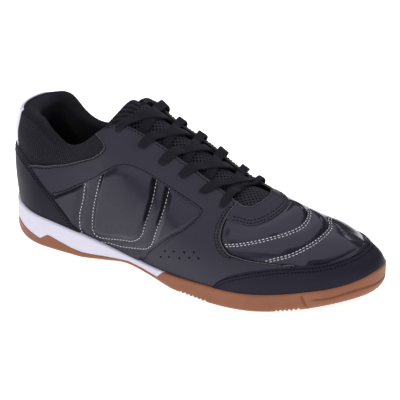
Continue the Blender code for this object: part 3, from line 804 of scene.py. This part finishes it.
def padLift(point, lines, border):
    inOuter, inInner = (fromLine(line, sideView(point), lambda a, b: a.x * b.z - a.z * b.x) for line in lines)
    inside = ease(border / 3.5)
    front, high = ease((point.x - 106) / 14), ease((point.z - 34) / 26)
    if inInner > 0:
        lift = sidePad["middle"] * ease((inInner - 0.7) / 3.4) * (0.35 + 0.65 * inside)
    elif inOuter > 0:
        share = inOuter / (inOuter - inInner)
        lift = sidePad["channel"] * math.sin(math.pi * share) ** 0.8
    else:
        rear = 1 - ease((point.x - 70) / 8)
        lift = sidePad["flank"] * (1 + rear) * ease((-inOuter - 0.3) / 4.5) * ease(border / (3.5 - rear))
    corner = ease((point.z - 60) / 10)      # deep tuck beside the top corners of the middle pad
    for away, deeper in ((inOuter, front * high), (inInner, max(front * high, corner))):
        trough = math.exp(-(((away - sidePad["troughAt"]) / sidePad["troughWide"]) ** 2))
        lift -= (sidePad["trough"] + sidePad["tuckDeep"] * deeper) * trough
    return sidePad["floor"] + lift


for sideName, side in bothSides.items():
    padLines = []
    for places in (outerStitch, innerStitch):
        at = lastCurve([(x, share, side) for x, share in places])
        padLines.append([sideView(at(t)) for t in even(sidePad["lineSteps"])])

    def padPoint(x, v):
        low, high = smooth(windowLow, "share", x), smooth(windowTop, "share", x)
        share = min(max(low - sidePad["tuck"] + (high - low + 2 * sidePad["tuck"]) * v, 0.0), 1.0)
        point = lastPoint(x, share, side)
        tall = (lastPoint(x, 0.9, side) - lastPoint(x, 0.1, side)).length / 0.8
        start, end = sidePad["foot"]       # here the pad runs down behind the sole
        slack = sidePad["footSlack"] if start < x < end else 0.0
        border = max(0.0, min(high - share, share - low + slack) * tall)
        return lastPoint(x, share, side, padLift(point, padLines, border))

    columns = between(sidePad["start"], sidePad["end"], sidePad["columns"])
    shape = faceOut(placeGrid(columns, even(sidePad["rows"]), padPoint))
    pad = keepPiece(f"sidePad_{sideName}", shape, padLeather, "black_leather", thick=sidePad["thick"])
print("side pads ready")

# Vamp: padded bands between two double rows of white stitching
vamp = {
    "columns": 84, "rise": (0.0, 2.4, 2.5, 2.3), "strip": 1.4, "base": -0.25, "sunk": -0.9, "taper": 9.0,
    "innerRise": 0.15, "thick": 0.8, "edgeMarks": (15, 33), "edgeSteps": 60,
    "rows": (0.0, 0.06, 0.12, 0.19, 0.28, 0.39, 0.5, 0.61, 0.72, 0.81, 0.88, 0.94),
}
underBand = overRidge(
    [(186, 0.85), (196, 0.792), (205, 0.76), (211, 0.79), (214.5, 0.88), (214.9, 1.0)],
    [(213.6, 0.93), (210, 0.87), (203, 0.757), (196, 0.76), (186, 0.85)])
bandEdge = overRidge(
    [(184, 0.73), (190.1, 0.701), (198, 0.632), (206.2, 0.618), (212.5, 0.665), (217.4, 0.738), (220.9, 0.850),
     (221.4, 0.94), (220.4, 1.0)],
    [(218.6, 0.95), (215.5, 0.87), (210, 0.78), (203, 0.666), (194, 0.669), (184, 0.74)])
stitchOne = overRidge(
    [(185, 0.450), (194.2, 0.446), (204.4, 0.444), (214.4, 0.501), (223.7, 0.572), (232.3, 0.656),
     (240.3, 0.797), (240.2, 0.929), (237.2, 1.0)],
    [(233.5, 0.915), (229, 0.82), (222.5, 0.70), (214, 0.60), (204.4, 0.52), (194.2, 0.444), (185, 0.46)])
stitchTwo = overRidge(
    [(217, 0.290), (227.4, 0.376), (240.3, 0.469), (250.8, 0.609), (260.1, 0.805), (265.1, 0.951), (264.5, 1.0)],
    [(261.4, 0.977), (254, 0.86), (247, 0.72), (238, 0.58), (228, 0.46), (217, 0.33)])
underGuard = overRidge(
    [(206, 0.170), (225, 0.235), (239, 0.270), (252, 0.315), (265, 0.400), (280, 0.535), (292, 0.62)],
    [(280, 0.535), (265, 0.400), (252, 0.315), (239, 0.270), (225, 0.235), (206, 0.170)])
vampArcs = [lastCurve(places) for places in (underBand, bandEdge, stitchOne, stitchTwo, underGuard)]

vampEdges = {}
for side in (outer, inner):
    first, end = (quarterMarks[side][i] for i in vamp["edgeMarks"])
    vampEdges[side] = [lastPoint(*strips[side](u, (1.0, 0.0)), side) for u in between(first, end, vamp["edgeSteps"])]


# Distance from the nearer quarter's edge, below zero where the vamp lies under the quarter
def insideVamp(point):
    return min(fromLine(vampEdges[side], point, lambda a, b: (a.x * b.y - a.y * b.x) * -side)
               for side in (outer, inner))


def vampPoint(u, row):
    band, share = row
    a, b = vampArcs[band](u), vampArcs[min(band + 1, 4)](u)
    wide = (b - a).length
    near = min(share, 1 - share) * wide
    crown = math.sin(math.pi / 2 * min(max((near - vamp["strip"]) / (wide / 2 - vamp["strip"] + 0.01), 0.0), 1.0))
    spot = onSurface(a.lerp(b, share), 0.0)
    inside = insideVamp(spot)
    rise = vamp["rise"][min(band, 3)] * (0.6 + 0.6 * ease((spot.y + 22) / 20))      # fullest at the crest
    rise *= 1 - (1 - vamp["innerRise"]) * ease((spot.y + 4) / 16)
    lift = vamp["base"] + rise * crown**0.8 * ease((inside - 0.5) / vamp["taper"])
    return onSurface(spot, lift + (vamp["sunk"] - lift) * ease(-(inside - 1.0) / 3.0))


rows = [(band, share) for band in range(4) for share in (vamp["rows"] if band else vamp["rows"][::4])] + [(4, 0.0)]
shape = faceOut(placeGrid(even(vamp["columns"]), rows, vampPoint))
piece = keepPiece("vamp", shape, glossLeather, "black_leather", thick=vamp["thick"])

throatBand = {"lift": 0.75, "thick": 1.2, "columns": 90, "rows": 6, "edgeRows": (0.4, 1.1), "drop": 0.3}
throatU = overRidge(
    [(184, 0.95), (188, 0.927), (191, 0.890), (195.7, 0.817), (200.6, 0.787), (203.4, 0.823), (205.5, 0.890),
     (206.4, 0.95), (206.0, 1.0)],
    [(204.6, 0.955), (202.5, 0.86), (199.5, 0.829), (195, 0.878), (190, 0.971), (184, 1.0)])
throatEdge = lastCurve(throatU)


def bandPoint(u, row):
    a, b = throatEdge(u), vampArcs[1](u)
    v = row[0] + row[1] / (b - a).length
    return onSurface(a.lerp(b, v), throatBand["lift"] - throatBand["drop"] * edgeFall(row))


rows = edgeRows(throatBand["rows"], throatBand["edgeRows"], throatBand["edgeRows"])
shape = faceOut(placeGrid(even(throatBand["columns"]), rows, bandPoint))
keepPiece("throatBand", shape, smoothLeather, "black_leather", thick=throatBand["thick"], cutEdge=edgeHighlight)
print("vamp ready")

# Toe guard and heel counter, from just inside the sole's rim to their own edge
overlay = {
    "lift": 1.3, "thick": 1.4, "rows": 12, "edgeRows": (0.45, 1.1, 2.0, 3.2, 4.4, 5.2), "drop": 0.45, "sink": 2.0,
    "groove": 0.3, "seams": (2.0, 4.4), "crowding": 0.9,
}
guardEdge = table(
    "x share",
    (181.3, 0.0), (183.2, 0.024), (187, 0.089), (190.5, 0.133), (195.1, 0.168), (197.6, 0.181), (199.9, 0.190),
    (201.4, 0.197), (202.9, 0.203), (204.1, 0.209), (205.2, 0.214), (206.6, 0.222), (208.1, 0.229), (210.1, 0.238),
    (215.3, 0.261), (219.9, 0.279), (229, 0.315), (244.4, 0.364), (258.3, 0.406), (269.4, 0.470), (281.8, 0.582),
    (292, 0.672),
)
counterEdge = table(
    "x share",
    (0, 0.602), (10.5, 0.606), (26, 0.532), (37, 0.461), (46.6, 0.381), (58.7, 0.215), (70.2, 0.043), (72, 0.016),
)


def overlayPoint(turn, side, row, edge):
    x = footX(turn)
    low = shareAtHeight(turn, side, smooth(heights, "rim", x) - overlay["sink"])
    high = max(smooth(edge, "share", x), low + 0.005)
    wide = max((wallPoint(turn, side, high) - wallPoint(turn, side, low)).length, 3.0)
    share = min(max(row[0] + row[1] / wide, 0.0), 1.0)
    return offWall(turn, side, low + (high - low) * share, overlay["lift"] - overlay["drop"] * edgeFall(row)
                   - overlay["groove"] * seamDip(row, *overlay["seams"]))


def overlayPiece(name, edge, middle, reach, columns, node, finish):
    ends = [math.copysign(abs(t) ** overlay["crowding"], t) * reach + middle for t in between(-1.0, 1.0, columns)]
    rows = edgeRows(overlay["rows"], (), overlay["edgeRows"])
    shape = faceOut(placeGrid(ends, rows, lambda t, row: overlayPoint(*roundEnd(t, outer), row, edge)))
    return keepPiece(name, shape, finish, "guard_leather", node, thick=overlay["thick"],
                     cutEdge=edgeHighlight)


overlayPiece("toeGuard", guardEdge, math.pi, math.pi - turnAt(181.5), 130, "toe_guard", guardLeather)
overlayPiece("heelCounter", counterEdge, 0.0, turnAt(71.5), 96, "heel_counter", counterLeather)
print("overlays ready")

# Padded collar: mesh outside and over the roll, lining down the inside
collar = {
    "end": 104.0, "meshEnd": 97.0, "columns": 120, "meshRows": 18, "rollFrom": 0.957, "rollRows": 16, "meshTo": 6,
    "innerRows": 14, "innerEnd": 0.28, "thick": 0.8, "liningDrop": -0.35, "liningThick": 0.6, "topFrom": 0.08,
    "tuck": 0.4, "puff": 0.4,
}
meshLow = table("x share", (0, 0.54), (14, 0.52), (26, 0.47), (38, 0.56), (50, 0.67), (70, 0.74), (97, 0.74))
collarPad = table(
    "x thick rise lift",
    (0, 13.0, 0.9, 1.1), (20, 13.0, 1.2, 1.1), (36, 12.5, 1.2, 1.1), (54, 7.5, 0.5, 1.1), (70, 5.0, 0.2, 0.9),
    (82, 4.2, 1.4, 0.2), (90, 3.6, 2.2, -0.4), (98, 3.0, 1.8, -0.5), (104, 2.4, 0.2, -0.5),
)


def collarPoint(turn, row, lift=0.0):
    turn, side = roundEnd(turn, outer)
    x = footX(turn)
    part, share = row
    thick, raised = smooth(collarPad, "thick", x), smooth(collarPad, "lift", x) + lift
    start = collar["rollFrom"]
    if part == "outside":
        low = smooth(meshLow, "share", x)
        puff = collar["puff"] * math.sin(math.pi * share) ** 2 * (1 - ease((x - 78) / 10))
        tuck = collar["tuck"]
        lift = -tuck + (raised + tuck) * ease((share - 0.08) / 0.6) + puff
        return offWall(turn, side, low + (start - low) * share, lift)
    if part == "inside":
        share = start + (collar["innerEnd"] - start) * share
        deep = last["wall"] + (thick - last["wall"]) * ease((share - 0.45) / 0.4)
        return offWall(turn, side, share, -deep)
    base, top = wallPoint(turn, side, start), wallPoint(turn, side, 1.0)
    normal = wallNormal(wallPoint, turn, side, start)
    tall = (top - base).length + smooth(collarPad, "rise", x) + lift
    centre = base + normal * (raised - thick) / 2
    angle = math.pi * share
    up = (top - base).normalized()
    return centre + normal * (raised + thick) / 2 * math.cos(angle) + up * tall * math.sin(angle)


spread = between(-1.0, 1.0, collar["columns"])
rollRows = [("roll", t) for t in even(collar["rollRows"])]
rows = [("outside", t) for t in even(collar["meshRows"])] + rollRows[1:collar["meshTo"] + 1]
shape = faceOut(placeGrid([t * turnAt(collar["meshEnd"]) for t in spread], rows, collarPoint))
piece = keepPiece("collarMesh", shape, collarWeave, "black_mesh", thick=collar["thick"])

rows = rollRows + [("inside", t) for t in even(collar["innerRows"])[1:]]
shape = faceUp(placeGrid([t * turnAt(collar["end"]) for t in spread], rows,
                         lambda t, row: collarPoint(t, row, collar["liningDrop"])), collar["topFrom"])
piece = keepPiece("collarLining", shape, liningKnit, "liner_fabric", thick=collar["liningThick"])

# White tab at the back, wider towards the top and laid over the roll
heelTab = {"lowReach": 7.5, "highReach": 9.5, "low": 0.12, "over": 0.22, "lift": 0.9, "thick": 1.2, "columns": 30}


def tabPoint(across, row):
    part, share, up = row
    reach = heelTab["lowReach"] + (heelTab["highReach"] - heelTab["lowReach"]) * up
    fall = 0.5 * ease((abs(across) - 0.9) / 0.1) + 0.5 * ease((abs(up - 0.5) - 0.46) / 0.04)
    return collarPoint(across * turnAt(reach), (part, share), heelTab["lift"] - fall)


rows = [("outside", heelTab["low"] + (1 - heelTab["low"]) * t, 0.8 * t) for t in (0.0, 0.012, 0.03, *even(14)[1:])]
rows += [("roll", heelTab["over"] * t, 0.8 + 0.2 * t) for t in (*even(5)[1:-1], 0.93, 0.97, 1.0)]
shape = faceOut(placeGrid(between(-1.0, 1.0, heelTab["columns"]), rows, tabPoint))
keepPiece("heelTab", shape, whiteLeather, "white_foam", thick=heelTab["thick"])
print("collar ready")

# Tongue of padded mesh, with two rounded lobes at its top
tongue = {
    "top": 104.0, "end": 216.0, "reach": 13.0, "thick": 4.0, "side": 1.8, "tip": 1.25, "crown": (0.4, 0.0, 0.92),
    "underShare": 0.2, "stations": 46, "sides": 32, "freeRows": 10,
}
tongueTip = table(
    "x px py pz",
    (-1.25, 82, -18, 101), (-1.05, 87.5, -17.5, 108), (-0.85, 91.5, -15, 113.2), (-0.6, 95.5, -9.5, 118.5),
    (-0.35, 99, -3.5, 119.9), (-0.15, 101, 0.5, 116.6), (0, 101.5, 4, 114.2), (0.25, 101.5, 8.5, 112.6),
    (0.5, 101.5, 12.5, 111.6), (0.8, 101.5, 16.5, 109.5), (1.05, 101.5, 19, 106), (1.25, 101.5, 20, 102),
)
tongueFit = table(
    "x under rise",
    (104, 3.3, 9.0), (120, 3.1, 7.5), (150, 2.7, 5.5), (178, 2.5, 5.4), (190, 1.4, 5.4), (206, 0.4, 5.4),
    (216, 0.4, 5.4),
)


def throatArch(x, across, lift):
    ends = [lastPoint(x, 1.0, side, lift) for side in (outer, inner)]
    return ends[0].lerp(ends[1], (across + 1) / 2) + Vector(tongue["crown"]) * smooth(
        tongueFit, "rise", x) * (1 - across**2)


def tonguePoint(x, across, lift=0.0):
    free = max(tongue["top"] - x, 0.0) / tongue["reach"]
    x = max(x, tongue["top"])
    turn, side = turnAt(x), outer if across < 0 else inner
    deep = lift - last["wall"] - smooth(tongueFit, "under", x)
    if x > last["throatRound"]:
        share = closedShare(turn, side, abs(across) * smooth(topline, "half", x))
        return closedPoint(turn, side, share) + wallNormal(closedPoint, turn, side, share) * deep
    if abs(across) > 1:
        point = offWall(turn, side, 1 - (abs(across) - 1) * tongue["underShare"], deep)
    else:
        point = throatArch(x, across, deep)
    tip = Vector([smooth(tongueTip, name, across) for name in ("px", "py", "pz")])
    return point.lerp(tip + Vector(tongue["crown"]) * lift, free)


def tongueRow(u, v):
    free = tongue["freeRows"] / (tongue["freeRows"] + tongue["stations"])
    if u < free:
        x = tongue["top"] - tongue["reach"] * (1 - u / free)
        wide = tongue["tip"] + (tongue["side"] - tongue["tip"]) * ease(u / free)
    else:
        x = tongue["top"] + (tongue["end"] - tongue["top"]) * (u - free) / (1 - free)
        wide = tongue["side"]
    return tonguePoint(x, wide * (2 * v - 1))


shape = faceUp(placeGrid(even(tongue["freeRows"] + tongue["stations"]), even(tongue["sides"]), tongueRow))
piece = keepPiece("tonguePad", shape, tongueWeave, "black_mesh", "tongue", thick=tongue["thick"])

# Flat lace: a straight bar at the front, then crossings that end in the eyelets or under the edge
lace = {
    "width": 5.5, "thick": 1.6, "bend": 0.1, "lift": 0.85, "eyeletX": 100.8, "pitch": 16.1, "rows": 6, "innerHole": 1.5,
    "tuck": 1.25, "innerShift": 0.53, "outerClimb": 1.45, "innerClimb": 0.55, "throatHalf": 16.5, "overFrom": 0.55,
    "steps": 40, "across": (0.0, 0.08, 0.3, 0.5, 0.7, 0.92, 1.0), "over": 1.5, "dip": 3.0, "edgeRise": 1.7,
}
outerHoles = [-1 - (1 - share) / tongue["underShare"] for _, share in eyelets]


def lacePoint(row, across, holes, bump):
    x = lace["eyeletX"] + lace["pitch"] * (row - 1)
    hole = holes[0] if across < 0 else holes[1]
    lift = lace["lift"] + lace["thick"] / 2
    rise = lace["edgeRise"] * math.exp(-(((across - 1.1) / 0.3) ** 2)) if hole and across > 0 else 0.0
    if abs(across) > 1 and hole:
        side = outer if across < 0 else inner
        dip = lace["dip"] * ease((abs(across) - abs(hole) + 0.12) / 0.16)
        return lastPoint(x, 1 - (abs(across) - 1) * tongue["underShare"], side, lift + 0.35 + rise - dip)
    lying = tonguePoint(x, across, lift + bump * ease((0.98 - abs(across)) / 0.3))
    if hole:
        share = ease((abs(across) - lace["overFrom"]) / (1 - lace["overFrom"]))
        return lying.lerp(throatArch(x, across, lift + 0.35 + rise), share)
    return lying


def lacePiece(name, start, end, holes, bump, *nodes):
    climb = (end[0] - start[0]) * lace["pitch"]
    span = (end[1] - start[1]) * lace["throatHalf"]
    long = math.hypot(climb, span)
    holed = [holes[0] if at < 0 else holes[1] for _, at in (start, end)]

    def place(share, v):
        pinch = 1.0
        for at, hole in zip((0.0, 1.0), holed):
            if hole:
                pinch *= 1 - 0.35 * (1 - ease(abs(share - at) / 0.12))
        out = (v - 0.5) * lace["width"] * pinch
        bent = share + lace["bend"] * math.sin(math.pi * share) * (1 if bump else 0)
        row = start[0] + (end[0] - start[0]) * bent + out * span / long / lace["pitch"]
        across = start[1] + (end[1] - start[1]) * share - out * climb / long / lace["throatHalf"]
        return lacePoint(row, across, holes, bump)

    shape = faceUp(placeGrid(even(lace["steps"]), lace["across"], place))
    return keepPiece(name, shape, laceWeave, "woven_lace", *nodes, thick=lace["thick"], offset=0.0)


bar, shift = lace["rows"], lace["innerShift"]
lacePiece("laceBar", (bar, outerHoles[-1]), (bar + shift, lace["innerHole"]), (outerHoles[-1], lace["innerHole"]), 0.0,
          "lace_bar")
for row in range(1, lace["rows"]):
    hole = outerHoles[row - 1]
    lacePiece(f"laceUnder_{row}", (row + shift, lace["innerHole"]), (row + shift + lace["innerClimb"], -lace["tuck"]),
              (None, lace["innerHole"]), 0.0, f"lace_cross_{row}")
    lacePiece(f"laceOver_{row}", (row, hole), (row + lace["outerClimb"], lace["tuck"]), (hole, None), lace["over"])
print("tongue and lace ready")

# Stitches are joined meshes along rows, laid on the finished pieces
stitch = {"white": (2.7, 1.85, 0.27), "black": (2.5, 1.75, 0.33), "sink": 0.12}      # pitch, length, radius


def skinOf(*pieces):
    points, faces = [], []
    for piece in pieces:
        seen = piece.evaluated_get(bpy.context.evaluated_depsgraph_get()).to_mesh()
        faces += [[len(points) + i for i in face.vertices] for face in seen.polygons]
        points += [v.co.copy() for v in seen.vertices]
    return BVHTree.FromPolygons(points, faces)


def stitchRow(shape, skin, at, count, kind):
    pitch, long, thick = stitch[kind]
    since, before = pitch / 2, None
    for share in even(count):
        point, normal = at(share)
        hit, facing, _, _ = skin.ray_cast(inFrame(point + normal * 8), -normal, 0.016)
        if hit is None:
            before = None
            continue
        if before is not None:
            since += (hit - before).length / mm
            if since >= pitch:
                since -= pitch
                along = (hit - before).normalized()
                side = facing.cross(along).normalized()
                turned = Matrix((side, side.cross(along) * -1, along)).transposed().to_4x4()
                sized = Matrix.Diagonal((thick * mm, thick * 0.8 * mm, long / 2 * mm, 1.0))
                spot = Matrix.Translation(hit + facing * stitch["sink"] * mm)
                bmesh.ops.create_uvsphere(shape, u_segments=6, v_segments=4, radius=1.0, matrix=spot @ turned @ sized)
        before = hit


def sidePlace(x, share, side, lift=0.0):
    turn = turnAt(x)
    normal = wallNormal(wallPoint, turn, side, share)
    return wallPoint(turn, side, share) + normal * lift, normal


whiteRows, blackRows = bmesh.new(), bmesh.new()
for sideName, side in bothSides.items():
    skin = skinOf(bpy.data.objects[f"sidePad_{sideName}"])
    for places in (outerStitch[1:-1], innerStitch[1:-1]):
        at = table("x sx share", *[(i / (len(places) - 1), *p) for i, p in enumerate(places)])
        stitchRow(whiteRows, skin, lambda t: sidePlace(smooth(at, "sx", t), max(smooth(at, "share", t), 0.012), side),
                  600, "white")
    skin = skinOf(bpy.data.objects[f"quarter_{sideName}"])
    marks = quarterMarks[side]
    for row, first, end in (((0.0, 1.7), 0, 36), ((1.0, -1.7), 0, 8), ((1.0, -2.3), 8.6, 15),
                            ((1.0, -1.7), 15.1, 33), ((1.0, -4.2), 15.3, 33)):
        low, high = (np.interp(i, range(len(marks)), marks) for i in (first, end))
        stitchRow(blackRows, skin, lambda t: sidePlace(*strips[side](low + (high - low) * t, row), side), 900, "black")

skin = skinOf(bpy.data.objects["vamp"])
for arc in (2, 3):
    for off in (-1.0, 1.0):
        def vampRow(t):
            here, beyond = (vampArcs[i](t) for i in (arc, arc + (1 if off > 0 else -1)))
            spot, normal = surfaceSpot(here + (beyond - here).normalized() * abs(off))
            hidden = Vector((0, 0, 0 if insideVamp(spot) > 1.0 else 90))       # no stitch under the quarter
            return spot - hidden, normal
        stitchRow(whiteRows, skin, vampRow, 600, "white")
skin = skinOf(bpy.data.objects["throatBand"])
for off in (1.6, 4.0):
    def bandRow(t):
        u = 0.08 + 0.84 * t
        a, b = throatEdge(u), vampArcs[1](u)
        return surfaceSpot(b + (a - b).normalized() * off)
    stitchRow(blackRows, skin, bandRow, 500, "black")
for name, edge, middle, reach in (("toeGuard", guardEdge, math.pi, math.pi - turnAt(185)),
                                  ("heelCounter", counterEdge, 0.0, turnAt(69))):
    skin = skinOf(bpy.data.objects[name])
    for off in overlay["seams"]:
        def overlayRow(t):
            turn, side = roundEnd(middle + reach * (2 * t - 1), outer)
            tall = (wallPoint(turn, side, 0.5) - wallPoint(turn, side, 0.0)).length / 0.5
            drop = off / tall * (1.25 if edge is counterEdge else 1.0)
            share = max(smooth(edge, "share", footX(turn)) - drop, 0.01)
            return wallPoint(turn, side, share), wallNormal(wallPoint, turn, side, share)
        stitchRow(blackRows, skin, overlayRow, 900, "black")
keepPiece("whiteStitches", whiteRows, whiteThread, "white_foam")
keepPiece("blackStitches", blackRows, blackThread, "woven_lace")

# Cut edges of the quarters, beside the collar mesh and along the laces, and of the band below the laces: real edges,
# painted paler as a highlight where they catch the light
highlightEdge = {
    "radius": 0.3, "lift": 0.95, "columns": 150, "sides": 6, "throat": (0.02, 0.97),
    "spans": {"collarEdge": (0, 8), "eyestayEdge": (15, 33)},
}


def edgeTube(name, low, high, at, step):
    def place(u, around):
        (here, normal), (ahead, _) = at(u), at(u + step)
        out = normal.cross(ahead - here).normalized()
        return here + (normal * math.cos(around) + out * math.sin(around)) * highlightEdge["radius"]

    shape = placeGrid(between(low, high, highlightEdge["columns"]), between(0.0, 2 * math.pi, highlightEdge["sides"]), place)
    bmesh.ops.recalc_face_normals(shape, faces=shape.faces)
    keepPiece(name, shape, edgeHighlight, "black_leather")


for sideName, side in bothSides.items():
    for name, span in highlightEdge["spans"].items():
        edgeTube(f"{name}_{sideName}", *(quarterMarks[side][i] for i in span),
                 lambda u: sidePlace(*strips[side](u, (1.0, 0.0)), side, highlightEdge["lift"]), 0.001)
edgeTube("throatEdge", *highlightEdge["throat"], lambda u: surfaceSpot(throatEdge(u), throatBand["lift"]), 0.002)

# Punched holes, each drawn as a black disc: the holes are real, their black is painted shade for the dark inside each
# hole
punched = {"perforation": 0.85, "lift": 0.07, "eyelet": 2.7}
airHoles = (
    (145.7, 0.207), (153.6, 0.243), (162.3, 0.283), (170.1, 0.324),
    (141.6, 0.137), (149.3, 0.171), (158.3, 0.207), (166.7, 0.255), (174.2, 0.287),
)
shape = bmesh.new()
for side in (outer, inner):
    for places, radius, dip in ((airHoles, punched["perforation"], 0.0),
                                (eyelets, punched["eyelet"], quarter["holeDip"])):
        for x, share in places:
            spot, normal = sidePlace(x, share, side, quarter["lift"] + punched["lift"] - dip)
            turned = normal.to_track_quat("Z", "Y").to_matrix().to_4x4()
            bmesh.ops.create_circle(shape, cap_ends=True, segments=14, radius=radius * mm,
                                    matrix=Matrix.Translation(inFrame(spot)) @ turned)
keepPiece("punchedHoles", shape, holeShade, "black_leather")
print("stitches ready")

# Floor, light and camera
studio = {
    "world": 0.05, "floor": (0.88, 0.88, 0.89), "floorGlow": 0.85, "lampColour": (0.93, 0.92, 1.0),
    "target": (0.0004, 0.0002, 0.050), "azimuth": 29.0, "elevation": 28.0, "distance": 1.5536, "lens": 195.66,
    "shift": (0.0111, -0.0008),
}
lamps = {
    "overhead": {"place": (0.25, 0.2, 1.35), "aim": (0.25, 0.2, 0.0), "size": (2.8, 3.0), "power": 34.0},
    "front": {"place": (-0.15, -1.5, 0.85), "aim": (-0.02, 0.0, 0.05), "size": (2.4, 1.2), "power": 11.5},
    "glint": {"place": (0.2, 1.9, 0.95), "aim": (0.08, 0.0, 0.06), "size": (0.35, 0.1), "power": 0.8},
}
shape = bmesh.new()
bmesh.ops.create_grid(shape, x_segments=2, y_segments=2, size=6.0)
floorMesh = bpy.data.meshes.new("floor")
shape.to_mesh(floorMesh)
shape.free()
floorPaper = newFinish("floorPaper", studio["floor"], 0.9, Emission_Color=(1, 1, 1, 1),
                       Emission_Strength=studio["floorGlow"])
floorMesh.materials.append(floorPaper)
floor = bpy.data.objects.new("floor", floorMesh)
bpy.context.scene.collection.objects.link(floor)

for name, lamp in lamps.items():
    data = bpy.data.lights.new(name, "AREA")
    data.shape, data.energy, data.color = "RECTANGLE", lamp["power"], studio["lampColour"]
    data.size, data.size_y = lamp["size"]
    light = bpy.data.objects.new(name, data)
    light.location = lamp["place"]
    light.rotation_euler = (Vector(lamp["aim"]) - Vector(lamp["place"])).to_track_quat("-Z", "Y").to_euler()
    bpy.context.scene.collection.objects.link(light)

world = bpy.data.worlds.new("studio")
world.use_nodes = True
world.node_tree.nodes["Background"].inputs["Color"].default_value = (1.0, 1.0, 1.0, 1.0)
world.node_tree.nodes["Background"].inputs["Strength"].default_value = studio["world"]
bpy.context.scene.world = world
bpy.context.scene.view_settings.view_transform = "Standard"

azimuth, elevation = math.radians(studio["azimuth"]), math.radians(studio["elevation"])
level = math.cos(elevation)
back = Vector((math.sin(azimuth) * level, -math.cos(azimuth) * level, math.sin(elevation)))
camera = bpy.data.objects.new("camera", bpy.data.cameras.new("camera"))
camera.data.lens, camera.data.sensor_width = studio["lens"], 36.0
camera.data.shift_x, camera.data.shift_y = studio["shift"]
camera.location = Vector(studio["target"]) + back * studio["distance"]
camera.rotation_euler = (-back).to_track_quat("-Z", "Y").to_euler()
bpy.context.scene.collection.objects.link(camera)
bpy.context.scene.camera = camera
print("studio ready")
